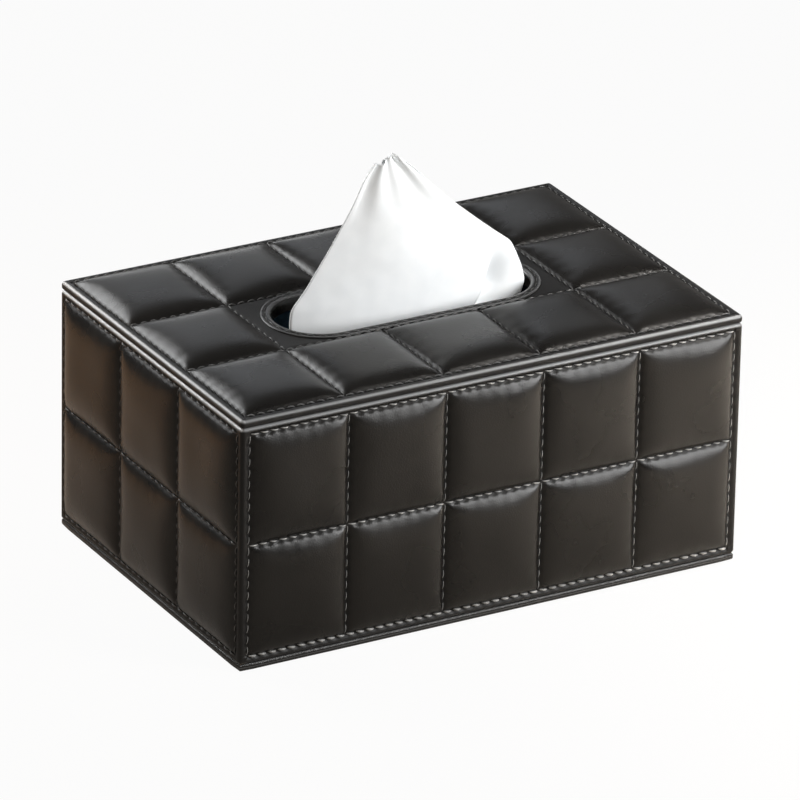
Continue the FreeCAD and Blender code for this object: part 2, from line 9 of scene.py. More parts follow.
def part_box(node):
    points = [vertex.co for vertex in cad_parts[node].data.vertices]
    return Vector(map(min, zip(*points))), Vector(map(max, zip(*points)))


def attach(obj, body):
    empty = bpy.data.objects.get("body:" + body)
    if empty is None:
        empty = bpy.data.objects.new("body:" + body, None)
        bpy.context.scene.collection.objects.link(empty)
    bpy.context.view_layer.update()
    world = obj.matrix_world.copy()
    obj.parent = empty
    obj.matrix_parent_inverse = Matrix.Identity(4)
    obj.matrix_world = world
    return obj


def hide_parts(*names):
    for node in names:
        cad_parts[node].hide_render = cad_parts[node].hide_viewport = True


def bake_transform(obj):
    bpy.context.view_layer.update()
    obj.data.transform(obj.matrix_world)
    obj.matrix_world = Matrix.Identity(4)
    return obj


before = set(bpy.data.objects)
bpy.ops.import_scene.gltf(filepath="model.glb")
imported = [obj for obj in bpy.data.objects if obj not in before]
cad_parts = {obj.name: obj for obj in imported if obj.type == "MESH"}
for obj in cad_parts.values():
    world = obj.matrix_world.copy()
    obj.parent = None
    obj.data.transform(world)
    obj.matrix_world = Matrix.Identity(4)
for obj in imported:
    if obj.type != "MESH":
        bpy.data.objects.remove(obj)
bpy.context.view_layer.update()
print("frame loaded, CAD nodes:", len(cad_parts))

mm = 0.001
full = 2 * math.pi

# the box over its flat leather margins, in millimetres
box = {
    "halfLength": 105.0,
    "halfDepth": 71.0,
    "top": 100.0,
    "baseTop": 2.9,      # walls stand on the base here
    "wallTop": 96.8,     # the top panel lies on the walls here
    "cornerRound": 1.6,
    "footRoll": 1.1,     # the walls' and base's lower edges
    "wallRoll": 1.7,     # the walls' upper edges
    "topRoll": 1.5,      # the top panel's upper edge
    "rimRoll": 0.9,      # the top panel's lower edge
    "baseRim": 1.1,      # the base's upper edge
    "boardFace": 1.15,   # how deep the padding ends, just clear of the board
    "lipEnd": 4.7,       # how deep the leather turns in over a board's edge
    "skin": 0.85,
}


def slowNoise(a, b, seed, waveLength, waves=9):
    # mean of a few sine waves that cross the plane in random directions, about -1 to 1
    draw = np.random.default_rng(seed)
    angles, phases = draw.uniform(0, full, (2, waves))
    stretches = draw.uniform(0.7, 1.6, waves)
    total = 0
    for angle, phase, stretch in zip(angles, phases, stretches):
        turn = full / (waveLength * stretch)
        total = total + np.sin(turn * (a * math.cos(angle) + b * math.sin(angle)) + phase)
    return total / math.sqrt(waves)


def smoothStep(t):
    # three t squared less two t cubed, held from 0 to 1
    t = np.clip(t, 0, 1)
    return t * t * (3 - 2 * t)


def graded(start, stop, count, crowd=0.6):
    # steps from start to stop, closer near both ends: a straight run mixed with a sine
    t = np.linspace(-1, 1, count + 1)
    return (start + stop) / 2 + (stop - start) / 2 * ((1 - crowd) * t + crowd * np.sin(t * math.pi / 2))


def panelLines(lines, count):
    # the grid lines over a row of cells, shared at the sewn lines
    runs = [graded(a, b, count)[:-1] for a, b in zip(lines, lines[1:])]
    return np.concatenate(runs + [lines[-1:]])


def gridFaces(rows, columns, closeRows=False, closeColumns=False):
    # quads of a grid of points stored row by row
    r = np.arange(rows if closeRows else rows - 1)[:, None]
    c = np.arange(columns if closeColumns else columns - 1)[None, :]
    nextR, nextC = (r + 1) % rows, (c + 1) % columns
    corners = [r * columns + c, r * columns + nextC, nextR * columns + nextC, nextR * columns + c]
    return np.stack(np.broadcast_arrays(*corners), -1).reshape(-1, 4)


def addPiece(name, points, faces, material, body, slot, sharp=48, **marks):
    # a mesh piece in the CAD frame; marks are values kept on its points for the material
    mesh = bpy.data.meshes.new(name)
    places = (np.asarray(points).reshape(-1, 3) * mm).tolist()
    mesh.from_pydata(places, [], [list(map(int, f)) for f in faces])
    for mark, values in marks.items():
        layer = mesh.attributes.new(mark, "FLOAT", "POINT")
        layer.data.foreach_set("value", np.asarray(values, np.float32).ravel())
    bm = bmesh.new()
    bm.from_mesh(mesh)
    bmesh.ops.delete(bm, geom=[v for v in bm.verts if not v.link_faces], context="VERTS")
    bmesh.ops.recalc_face_normals(bm, faces=bm.faces)
    bm.to_mesh(mesh)
    bm.free()
    mesh.shade_smooth()
    mesh.set_sharp_from_angle(angle=math.radians(sharp))
    mesh.materials.append(material)
    piece = bpy.data.objects.new(name, mesh)
    bpy.context.scene.collection.objects.link(piece)
    if body:
        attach(piece, body)
    return piece


# materials
def nodeKit(tree):
    def make(kind, **settings):
        node = tree.nodes.new(kind)
        for key, setting in settings.items():
            if key in node.inputs:
                node.inputs[key].default_value = setting
            else:
                setattr(node, key, setting)
        return node
    return make, tree.links.new


def startMaterial(name):
    material = bpy.data.materials.new(name)
    material.use_nodes = True
    material.node_tree.nodes.clear()
    make, join = nodeKit(material.node_tree)
    shader = make("ShaderNodeBsdfPrincipled")
    join(shader.outputs[0], make("ShaderNodeOutputMaterial").inputs["Surface"])
    return material, make, join, shader


def newGroup(name, inputs, outputs):
    group = bpy.data.node_groups.new(name, "ShaderNodeTree")
    for label, kind, start in inputs:
        socket = group.interface.new_socket(label, in_out="INPUT", socket_type=kind)
        if start is not None:
            socket.default_value = start
    for label, kind in outputs:
        group.interface.new_socket(label, in_out="OUTPUT", socket_type=kind)
    make, join = nodeKit(group)
    return group, make, join, make("NodeGroupInput"), make("NodeGroupOutput")


def mathNode(make, join, operation, a, b):
    node = make("ShaderNodeMath", operation=operation)
    for socket, given in zip(node.inputs, (a, b)):
        if isinstance(given, (int, float)):
            socket.default_value = given
        else:
            join(given, socket)
    return node.outputs[0]


def mapRange(make, join, value, low, high, toLow, toHigh):
    node = make("ShaderNodeMapRange")
    for label, given in (("From Min", low), ("From Max", high), ("To Min", toLow), ("To Max", toHigh)):
        node.inputs[label].default_value = given
    join(value, node.inputs["Value"])
    return node.outputs["Result"]


def mixColour(make, join, share, first, second):
    node = make("ShaderNodeMix", data_type="RGBA")
    join(share, node.inputs["Factor"])
    for label, given in (("A", first), ("B", second)):
        socket = [s for s in node.inputs if s.name == label and s.type == "RGBA"][0]
        if isinstance(given, tuple):
            socket.default_value = given
        else:
            join(given, socket)
    return [s for s in node.outputs if s.type == "RGBA"][0]


def makeGrain():
    # pebbled leather: rounded cells with thin valleys, broken up by fine noise
    group, make, join, given, out = newGroup(
        "leatherGrain",
        [("Place", "NodeSocketVector", None), ("Cells", "NodeSocketFloat", 1300.0)],
        [("Height", "NodeSocketFloat"), ("Tone", "NodeSocketFloat")],
    )
    warp = make("ShaderNodeTexNoise", Scale=420.0, Detail=2.0)
    join(given.outputs["Place"], warp.inputs["Vector"])
    shift = make("ShaderNodeVectorMath", operation="MULTIPLY_ADD")
    shift.inputs[1].default_value = (0.0003, 0.0003, 0.0003)
    join(warp.outputs["Color"], shift.inputs[0])
    join(given.outputs["Place"], shift.inputs[2])
    cells = make("ShaderNodeTexVoronoi", feature="DISTANCE_TO_EDGE")
    join(shift.outputs[0], cells.inputs["Vector"])
    join(given.outputs["Cells"], cells.inputs["Scale"])
    pebble = mapRange(make, join, cells.outputs["Distance"], 0.0, 0.3, 0.0, 1.0)
    fine = make("ShaderNodeTexNoise", Scale=5200.0, Detail=3.0)
    join(given.outputs["Place"], fine.inputs["Vector"])
    rough = mathNode(make, join, "MULTIPLY", fine.outputs["Fac"], 0.12)
    join(mathNode(make, join, "ADD", pebble, rough), out.inputs["Height"])
    broad = make("ShaderNodeTexNoise", Scale=46.0, Detail=3.0)
    join(given.outputs["Place"], broad.inputs["Vector"])
    join(broad.outputs["Fac"], out.inputs["Tone"])
    return group


def makeFuzz():
    # short fibres lying every way: two stretched noises and a clumped one
    group, make, join, given, out = newGroup(
        "fibreFuzz",
        [("Place", "NodeSocketVector", None), ("Fineness", "NodeSocketFloat", 1.0)],
        [("Height", "NodeSocketFloat"), ("Tone", "NodeSocketFloat")],
    )
    parts = []
    for turn in (0.4, 1.9):
        lay = make("ShaderNodeMapping")
        lay.inputs["Rotation"].default_value = (turn, turn * 0.7, turn * 1.3)
        lay.inputs["Scale"].default_value = (1.0, 4.5, 2.0)
        join(given.outputs["Place"], lay.inputs["Vector"])
        fibre = make("ShaderNodeTexNoise", Detail=4.0)
        join(lay.outputs[0], fibre.inputs["Vector"])
        join(mathNode(make, join, "MULTIPLY", given.outputs["Fineness"], 900.0), fibre.inputs["Scale"])
        parts.append(fibre.outputs["Fac"])
    join(mathNode(make, join, "ADD", *parts), out.inputs["Height"])
    clump = make("ShaderNodeTexNoise", Scale=160.0, Detail=4.0)
    join(given.outputs["Place"], clump.inputs["Vector"])
    join(clump.outputs["Fac"], out.inputs["Tone"])
    return group


grain = makeGrain()
fuzz = makeFuzz()


def withGroup(make, join, group, **settings):
    place = make("ShaderNodeTexCoord").outputs["Object"]
    node = make("ShaderNodeGroup", node_tree=group)
    join(place, node.inputs["Place"])
    for label, given in settings.items():
        node.inputs[label].default_value = given
    return node.outputs["Height"], node.outputs["Tone"]


def bumpInto(make, join, shader, height, strength, distance):
    bump = make("ShaderNodeBump", Strength=strength, Distance=distance)
    join(height, bump.inputs["Height"])
    join(bump.outputs[0], shader.inputs["Normal"])


leatherLooks = {
    "dark": (0.0048, 0.0041, 0.0034, 1),
    "light": (0.0080, 0.0069, 0.0057, 1),
    # a pale colour mixed in as a painted highlight on rolled edges and rims, where the leather catches the lamps
    "rubbed": (0.80, 0.805, 0.81, 1),
    # the painted shade colour, mixed in along seams, in the gaps between panels, on turned-in lips and on flat
    # margins
    "sunk": (0.0035, 0.003, 0.0028, 1),
    "smooth": 0.25,
    "dull": 0.33,
    "specular": 0.30,
    "tint": (1.0, 0.985, 0.97, 1),
    "creaseDull": 0.35,     # how much rougher the leather is under the painted shade
    "rubShine": 0.06,       # how much less rough the leather is under the painted highlight
    "grainDeep": 0.00012,
}
toneRange = (0.3, 0.7)      # the part of a noise's range that the clouds use


def leather(name, cells, strength, shine=0.0):
    # dark leather: grain bump, cloudy tone, painted shade in sewn grooves and other shaded places, and a painted
    # highlight along rolled edges and rims
    material, make, join, shader = startMaterial(name)
    height, tone = withGroup(make, join, grain, Cells=cells)
    cloud = mapRange(make, join, tone, *toneRange, 0.0, 1.0)
    colour = mixColour(make, join, cloud, leatherLooks["dark"], leatherLooks["light"])
    # the painted shade's share of the dark colour, kept on the points
    crease = make("ShaderNodeAttribute", attribute_name="crease").outputs["Fac"]
    # the painted highlight's share of the pale colour, kept on the points
    rub = make("ShaderNodeAttribute", attribute_name="rub").outputs["Fac"]
    colour = mixColour(make, join, rub, colour, leatherLooks["rubbed"])
    colour = mixColour(make, join, crease, colour, leatherLooks["sunk"])
    join(colour, shader.inputs["Base Color"])
    smooth, dull = leatherLooks["smooth"] - shine, leatherLooks["dull"] - shine
    gloss = mapRange(make, join, tone, *toneRange, smooth, dull)
    duller = mathNode(make, join, "MULTIPLY", crease, leatherLooks["creaseDull"])
    shinier = mathNode(make, join, "MULTIPLY", rub, leatherLooks["rubShine"])
    gloss = mathNode(make, join, "SUBTRACT", mathNode(make, join, "ADD", gloss, duller), shinier)
    join(gloss, shader.inputs["Roughness"])
    shader.inputs["Specular IOR Level"].default_value = leatherLooks["specular"]
    shader.inputs["Specular Tint"].default_value = leatherLooks["tint"]
    bumpInto(make, join, shader, height, strength, leatherLooks["grainDeep"])
    return material


def fibreMaterial(name, look, dark, light):
    # fine fibres: cloudy tones between two colours and two roughnesses, and a bump; what does
    # not vary is set on the shader's own sockets
    material, make, join, shader = startMaterial(name)
    height, tone = withGroup(make, join, fuzz, Fineness=look["fineness"])
    cloud = mapRange(make, join, tone, *toneRange, 0.0, 1.0)
    join(mixColour(make, join, cloud, (*dark, 1), (*light, 1)), shader.inputs["Base Color"])
    join(mapRange(make, join, tone, *toneRange, *look["rough"]), shader.inputs["Roughness"])
    for label, given in look.get("sockets", {}).items():
        shader.inputs[label].default_value = given
    bumpInto(make, join, shader, height, look["strength"], look["deep"])
    return material


threadLook = {"fineness": 2.2, "rough": (0.30, 0.45), "strength": 0.4, "deep": 0.0001}
feltLook = {"fineness": 1.0, "rough": (0.85, 0.98), "strength": 0.8, "deep": 0.0003,
            "sockets": {"Sheen Weight": 0.25, "Specular IOR Level": 0.2}}
tissueLook = {"fineness": 0.9, "rough": (0.88, 0.98), "strength": 0.06, "deep": 0.0001,
              "sockets": {"Specular IOR Level": 0.15}}
boardLook = {"fineness": 0.7, "rough": (0.7, 0.9), "strength": 0.5, "deep": 0.0002}
ferriteLook = {"fineness": 1.6, "rough": (0.5, 0.7), "strength": 0.15, "deep": 0.0001}
steelLook = {"fineness": 1.6, "rough": (0.28, 0.42), "strength": 0.15, "deep": 0.0001,
             "sockets": {"Metallic": 1.0}}

quiltLeather = leather("quiltLeather", 1000.0, 0.14)
facingLeather = leather("facingLeather", 1200.0, 0.16, shine=0.04)
baseLeather = leather("baseLeather", 1100.0, 0.45)
# one thread in two painted tones: paler as painted light on the front and back walls, darker as painted shade on
# the end walls, top and slot
litThread = fibreMaterial("litThread", threadLook, (0.210, 0.206, 0.197), (0.350, 0.342, 0.329))
shadedThread = fibreMaterial("shadedThread", threadLook, (0.050, 0.049, 0.047), (0.095, 0.092, 0.088))
felt = fibreMaterial("blueFelt", feltLook, (0.035, 0.080, 0.120), (0.060, 0.125, 0.180))
tissuePaper = fibreMaterial("softTissue", tissueLook, (0.90, 0.915, 0.92), (0.935, 0.945, 0.945))
fibreboard = fibreMaterial("fibreboard", boardLook, (0.20, 0.125, 0.068), (0.30, 0.20, 0.115))
ferrite = fibreMaterial("ferrite", ferriteLook, (0.03, 0.03, 0.032), (0.06, 0.06, 0.062))
steel = fibreMaterial("keeperSteel", steelLook, (0.42, 0.42, 0.43), (0.58, 0.58, 0.59))
print("materials made")

# quilting
quilt = {
    "crown": 3.35,       # how far a cell swells
    "press": 1.0,        # lower is flatter in the middle and steeper at the seams
    "sheetSteps": 14,    # steps of the blown leather to a cell's side
    "slack": (0.03, 0.055),
    "slackWave": 60.0,   # how broad the change from tight to slack is
    "frames": 20,
    "enlarged": 10.0,    # how much larger than life the leather is blown up
    "grooveDeep": 0.62,
    "grooveWide": 1.05,
    "shadeWide": 0.55,   # painted shade along a seam
    "fieldShade": 0.7,   # painted shade over a cell with no filling
    "pucker": 0.18,      # bulges beside a seam, one to a stitch
    "puckerReach": 0.62,
    "stitches": 10,      # to a cell's side
    "uneven": 0.06,
    "unevenWave": 34.0,
    "puckerEnd": 3.0,    # puckers fade this near a crossing
    "steps": 62,         # grid steps to a cell's side
    "sideMargin": 3.5,
    "edgeMargin": 2.8,
}
clothLook = {
    "quality": 6,
    "mass": 0.3,
    "tension_stiffness": 15.0,
    "compression_stiffness": 15.0,
    "shear_stiffness": 7.5,
    "bending_stiffness": 0.5,
    "use_pressure": True,
    "uniform_pressure_force": 40.0,
    "vertex_group_mass": "held",
    "vertex_group_shrink": "fullness",
}


def cellPlace(a, lines):
    # the cell a point is in, how far across it from 0 to 1, the nearest line and the gap to it
    index = np.clip(np.searchsorted(lines, a, side="right") - 1, 0, len(lines) - 2)
    across = (a - lines[index]) / (lines[index + 1] - lines[index])
    gaps = np.abs(a[..., None] - lines)
    return index, across, gaps.argmin(-1), gaps.min(-1)


def sewnLines(filled):
    # a line is sewn where a filled cell lies on either side of it
    a = np.pad(filled, ((1, 1), (0, 0)))
    b = np.pad(filled, ((0, 0), (1, 1)))
    return np.maximum(a[1:], a[:-1]), np.maximum(b[:, 1:], b[:, :-1])


def blownSheet(linesA, linesB, filled, seed):
    # a panel's leather as cloth, held along its sewn lines and over cells with no filling, cut a
    # little too large and blown up from below; its heights come back cell by cell, with one more
    # row all round that mirrors the first one through the seam
    steps = quilt["sheetSteps"]
    share = np.linspace(0, 1, steps + 1)[:-1]
    a, b = (np.concatenate([p + (q - p) * share for p, q in zip(lines, lines[1:])] + [lines[-1:]])
            for lines in (linesA, linesB))
    gx, gy = np.meshgrid(a, b)
    rows, columns = gx.shape
    unit = mm * quilt["enlarged"]
    mesh = bpy.data.meshes.new("blown")
    mesh.from_pydata((np.stack([gx, gy, 0 * gx], -1).reshape(-1, 3) * unit).tolist(), [],
                     gridFaces(rows, columns).tolist())
    sheet = bpy.data.objects.new("blown", mesh)
    bpy.context.scene.collection.objects.link(sheet)
    onA, onB = np.arange(columns), np.arange(rows)
    cellA, cellB = np.minimum(onA // steps, len(filled) - 1), np.minimum(onB // steps, filled.shape[1] - 1)
    seam = (onA % steps == 0)[None, :] | (onB % steps == 0)[:, None]
    held = seam | (filled[np.ix_(cellA, cellB)].T == 0)
    sheet.vertex_groups.new(name="held").add(np.flatnonzero(held).tolist(), 1.0, "REPLACE")
    fullness = sheet.vertex_groups.new(name="fullness")
    levels = np.clip(np.round(4 * (0.5 + 0.4 * slowNoise(gx, gy, seed, quilt["slackWave"]))), 0, 4).ravel()
    for level in range(5):
        fullness.add(np.flatnonzero(levels == level).tolist(), level / 4, "REPLACE")
    cloth = sheet.modifiers.new("cloth", "CLOTH")
    look = cloth.settings
    for key, setting in clothLook.items():
        setattr(look, key, setting)
    look.shrink_min, look.shrink_max = (-slack for slack in quilt["slack"])
    look.effector_weights.gravity = 0
    cloth.point_cache.frame_start, cloth.point_cache.frame_end = 1, quilt["frames"]
    for step in range(1, quilt["frames"] + 1):
        bpy.context.scene.frame_set(step)
    blown = sheet.evaluated_get(bpy.context.evaluated_depsgraph_get()).data
    place = np.empty(3 * rows * columns, np.float32)
    blown.vertices.foreach_get("co", place)
    height = place.reshape(rows, columns, 3)[..., 2].T / unit
    bpy.data.objects.remove(sheet)
    bpy.data.meshes.remove(mesh)
    bpy.context.scene.frame_set(1)
    cells = np.stack([[height[i * steps:(i + 1) * steps + 1, j * steps:(j + 1) * steps + 1]
                       for j in range(filled.shape[1])] for i in range(len(filled))])
    cells = np.pad(cells, ((0, 0), (0, 0), (1, 1), (1, 1)))
    cells[:, :, 0], cells[:, :, -1] = -cells[:, :, 2], -cells[:, :, -3]
    cells[..., 0], cells[..., -1] = -cells[..., 2], -cells[..., -3]
    return cells


def sewnPanel(linesA, linesB, filled, look):
    return {"linesA": linesA, "linesB": linesB, "filled": filled, "look": look,
            "sheet": blownSheet(linesA, linesB, filled, look["seed"])}


def swellAt(sheet, cellA, acrossA, cellB, acrossB):
    # a smooth surface over the blown leather's points, by cubic B-spline weights each way; the
    # sponge's flat face holds it back, as the crown times a hyperbolic tangent
    steps = quilt["sheetSteps"]
    firsts, weights = [], []
    for across in (acrossA, acrossB):
        place = np.clip(across, 0, 1) * steps
        first = np.minimum(place.astype(int), steps - 1)
        f = place - first
        firsts.append(first)
        weights.append(np.stack([(1 - f) ** 3, 3 * f ** 3 - 6 * f ** 2 + 4,
                                 1 + 3 * f + 3 * f ** 2 - 3 * f ** 3, f ** 3]) / 6)
    swell = sum(weights[0][i] * weights[1][j] * sheet[cellA, cellB, firsts[0] + i, firsts[1] + j]
                for i in range(4) for j in range(4))
    return quilt["crown"] * np.tanh(swell / (quilt["press"] * quilt["crown"]))


def quiltHeight(a, b, panel):
    # the blown leather's swell with slow unevenness, less a narrow groove along each sewn line,
    # less a row of dips beside it, one to each needle hole
    a, b = np.broadcast_arrays(np.asarray(a, float), np.asarray(b, float))
    filled, look = panel["filled"], panel["look"]
    cellA, acrossA, nearA, gapA = cellPlace(a, panel["linesA"])
    cellB, acrossB, nearB, gapB = cellPlace(b, panel["linesB"])
    inA = (acrossA >= 0) & (acrossA <= 1)
    inB = (acrossB >= 0) & (acrossB <= 1)
    swell = swellAt(panel["sheet"], cellA, acrossA, cellB, acrossB) * filled[cellA, cellB] * inA * inB
    uneven = 1 + quilt["uneven"] * slowNoise(a, b, look["seed"], quilt["unevenWave"])
    sewnA, sewnB = sewnLines(filled)
    holdA = sewnA[nearA, cellB] * inB
    holdB = sewnB[cellA, nearB] * inA

    def along(wide):
        return np.maximum(holdA * np.exp(-(gapA / wide) ** 2), holdB * np.exp(-(gapB / wide) ** 2))

    turns = full * quilt["stitches"]
    reach, end = quilt["puckerReach"], quilt["puckerEnd"]
    bulgeA = holdA * np.exp(-((gapA - reach) / reach) ** 2) * np.cos(turns * acrossB) * smoothStep(gapB / end)
    bulgeB = holdB * np.exp(-((gapB - reach) / reach) ** 2) * np.cos(turns * acrossA) * smoothStep(gapA / end)
    dips = look["tuck"] * quilt["grooveDeep"] * along(quilt["grooveWide"])
    dips = dips + look["pull"] * quilt["pucker"] * (bulgeA + bulgeB)
    # painted shade: dark along each sewn line and over cells with no filling, given back as the second value
    field = quilt["fieldShade"] * (1 - filled[cellA, cellB]) * inA * inB
    return swell * uneven - dips, np.maximum(along(quilt["shadeWide"]), field)


stitchLooks = {
    "radius": 0.32,
    "span": 0.78,        # the part from hole to hole that shows
    "rings": 7,
    "sides": 6,
    "lift": 0.24,
    "dip": 0.30,
    "slant": 0.22,
    "slantSpread": 0.05,
    "seat": 0.7,         # how high the thread lies on the leather, in radii
    "tip": 0.45,         # the radius left at its ends
}


def stitchRun(name, starts, stops, outs, girth, material, seed):
    # each stitch is a bent bead: its middle line goes from hole to hole with a low sine hump,
    # its radius falls to the ends, and a circle of points stands round the line
    look = stitchLooks
    radius = look["radius"] * np.reshape(girth, (-1, 1, 1))
    t = np.linspace(0, 1, look["rings"])[None, :, None]
    hump = np.sin(math.pi * t)
    run = stops - starts
    along = run / np.linalg.norm(run, axis=1, keepdims=True)
    side = np.cross(along, outs)
    slant = np.random.default_rng(seed).normal(look["slant"], look["slantSpread"], (len(starts), 1, 1))
    inset = (1 - look["span"]) / 2
    middle = starts[:, None] + run[:, None] * (inset + look["span"] * t)
    rise = radius * look["seat"] + look["lift"] * hump - look["dip"] * (1 - hump)
    middle = middle + outs[:, None] * rise
    middle = middle + side[:, None] * slant * (2 * t - 1)
    thick = radius * (look["tip"] + (1 - look["tip"]) * hump ** 0.5)
    turn = np.arange(look["sides"]) * full / look["sides"]
    ring = side[:, None, None] * np.cos(turn)[:, None] + outs[:, None, None] * np.sin(turn)[:, None]
    points = middle[:, :, None] + thick[..., None] * ring
    tube = gridFaces(look["rings"], look["sides"], closeColumns=True)
    first = np.arange(look["sides"])
    last = first + look["sides"] * (look["rings"] - 1)
    one = tube.tolist() + [first.tolist()] + [last.tolist()]
    each = look["rings"] * look["sides"]
    faces = [[i + each * k for i in f] for k in range(len(starts)) for f in one]
    return addPiece(name, points, faces, material, "shell", "leather", sharp=80)


def quiltStitches(panel):
    # hole to hole along every sewn line, in the panel's own flat coordinates, and each stitch's girth:
    # rows that run up, rows that run along, and the lowest of these
    linesA, linesB = panel["linesA"], panel["linesB"]
    sewnA, sewnB = sewnLines(panel["filled"])
    holes = np.linspace(0, 1, quilt["stitches"] + 1)
    starts, stops = [], []
    for k, j in np.argwhere(sewnA > 0):
        b = linesB[j] + (linesB[j + 1] - linesB[j]) * holes
        line = np.stack([np.full_like(b, linesA[k]), b], -1)
        starts.append(line[:-1])
        stops.append(line[1:])
    for j, k in np.argwhere(sewnB > 0):
        a = linesA[j] + (linesA[j + 1] - linesA[j]) * holes
        line = np.stack([a, np.full_like(a, linesB[k])], -1)
        starts.append(line[:-1])
        stops.append(line[1:])
    starts, stops = np.concatenate(starts), np.concatenate(stops)
    middle = (starts + stops) / 2
    rest = quiltHeight(middle[:, 0], middle[:, 1], panel)[0]
    upright, level, lowest = panel["look"]["girths"]
    girth = np.where(starts[:, 1] > linesB[0] + 1, level, lowest)
    girth = np.where(np.isclose(starts[:, 0], stops[:, 0]), upright, girth)
    return np.column_stack([starts, rest]), np.column_stack([stops, rest]), girth


# walls
# pull is how hard the stitches pucker the leather, tuck how far the seams draw it in, then how strong the
# painted highlight along its top edge is, thread its painted tone, and girths the thread's in upright rows,
# level rows and the lowest row
longWall = {"half": box["halfLength"], "away": box["halfDepth"], "cells": 5, "pull": 1.0, "tuck": 1.0,
            "worn": 0.29, "thread": litThread, "girths": (0.5, 1.0, 1.5)}
shortWall = {"half": box["halfDepth"], "away": box["halfLength"], "cells": 3, "pull": 0.4, "tuck": 0.45,
             "worn": 0.31, "thread": shadedThread, "girths": (0.7, 1.0, 1.0)}
walls = {
    "front": {**longWall, "turn": 0, "seed": 11},
    "right": {**shortWall, "turn": 90, "seed": 12},
    "back": {**longWall, "turn": 180, "seed": 13},
    "left": {**shortWall, "turn": 270, "seed": 14, "worn": 1.0},
}
wallEdge = {
    "topGap": 0.04,      # the walls end this far under the top panel
    "lipTurn": 2.6,      # a point on the way in along a lip
    # a painted highlight along the foot roll, weaker than the top roll's
    "footHighlight": 0.10,
    "shadeStart": 1.1,   # the turn at which the top roll falls into shade
    "shadeTurn": 0.4,
    "borderShade": 0.6,  # painted shade on the flat margins outside the outer seams
    "borderWide": 0.8,
    # no painted shade where the painted highlight is above this
    "unrubbed": 0.02,
}
rubPower = 3             # higher is a narrower painted highlight along a roll
wallTall = box["wallTop"] - box["baseTop"]
cornerZone = 6.0     # how far from a corner the columns start to follow it
wallLift = 0.08      # the bottom lip clears the base's turned edge by this


def placeOnWall(along, up, out, wall):
    # along the wall, up it and outwards from its flat margin, into the box's frame
    x, y = along, -(wall["away"] + out)
    angle = math.radians(wall["turn"])
    return np.stack([
        x * math.cos(angle) - y * math.sin(angle),
        x * math.sin(angle) + y * math.cos(angle),
        up + box["baseTop"],
    ], -1)


def wallLines(wall):
    border = wall["half"] - quilt["sideMargin"]
    linesA = np.linspace(-border, border, wall["cells"] + 1)
    linesB = np.linspace(quilt["edgeMargin"], wallTall - quilt["edgeMargin"], 3)
    return linesA, linesB, np.ones((wall["cells"], 2))


def wallProfile(linesB):
    # across the wall, as depth and height: in along the bottom lip, a quarter round, up the
    # face, a quarter round, in along the top lip, then back down inside the skin
    foot, roll, deep, skin = box["footRoll"], box["wallRoll"], box["lipEnd"], box["skin"]
    low, high = wallLift, wallTall - wallEdge["topGap"]
    turn = np.linspace(0, math.pi / 2, 9)
    lip = wallEdge["lipTurn"]
    face = np.concatenate([
        np.linspace(low + foot, linesB[0], 7)[1:-1],
        panelLines(linesB, quilt["steps"]),
        np.linspace(linesB[-1], high - roll, 7)[1:-1],
    ])
    depth = np.concatenate([
        [deep, lip], foot - foot * np.sin(turn), 0 * face, roll - roll * np.cos(turn), [lip, deep],
        [deep, box["boardFace"], box["boardFace"], deep],
    ])
    height = np.concatenate([
        [low, low], low + foot - foot * np.cos(turn), face, high - roll + roll * np.sin(turn), [high, high],
        [high - skin, high - skin, low + skin, low + skin],
    ])
    onFace = np.zeros(len(depth), bool)
    faceStart = 2 + len(turn)
    faceEnd = faceStart + len(face)
    rollEnd = faceEnd + len(turn)
    onFace[faceStart - 1:faceEnd + 1] = True
    # a painted highlight along the foot roll and along the top roll
    rub = np.zeros(len(depth))
    rub[2:faceStart] = wallEdge["footHighlight"] * np.sin(2 * turn)
    rub[faceEnd:rollEnd] = np.sin(2 * turn) ** rubPower
    # painted shade: the top roll as it turns under the top panel, the lip inside, and the flat margins outside
    # the outer seams
    shade = np.zeros(len(depth))
    shade[faceEnd:rollEnd] = smoothStep((turn - wallEdge["shadeStart"]) / wallEdge["shadeTurn"])
    shade[rollEnd:] = 1
    outer = np.minimum(height - linesB[0], linesB[-1] - height)
    border = wallEdge["borderShade"] * onFace * smoothStep(-outer / wallEdge["borderWide"])
    shade = np.maximum(shade, border * (rub < wallEdge["unrubbed"]))
    return depth, height, onFace, rub, shade


def wallColumns(wall, linesA):
    # stations along the wall: the middle run, and beyond it, at both ends, the way round the corner
    reach = wall["half"] - cornerZone
    border = wall["half"] - quilt["sideMargin"] - reach
    straight = cornerZone - box["cornerRound"]
    bend = box["cornerRound"] * math.pi / 4
    zone = np.concatenate([
        np.linspace(0, border, 9)[1:], np.linspace(border, straight, 6)[1:],
        straight + np.linspace(0, bend, 7)[1:],
    ])
    inner = panelLines(linesA, quilt["steps"])
    inner = np.concatenate([[-reach], inner[np.abs(inner) < reach - 0.1], [reach]])
    along = np.concatenate([-(reach + zone[::-1]), inner, reach + zone])
    return along, reach, straight, bend


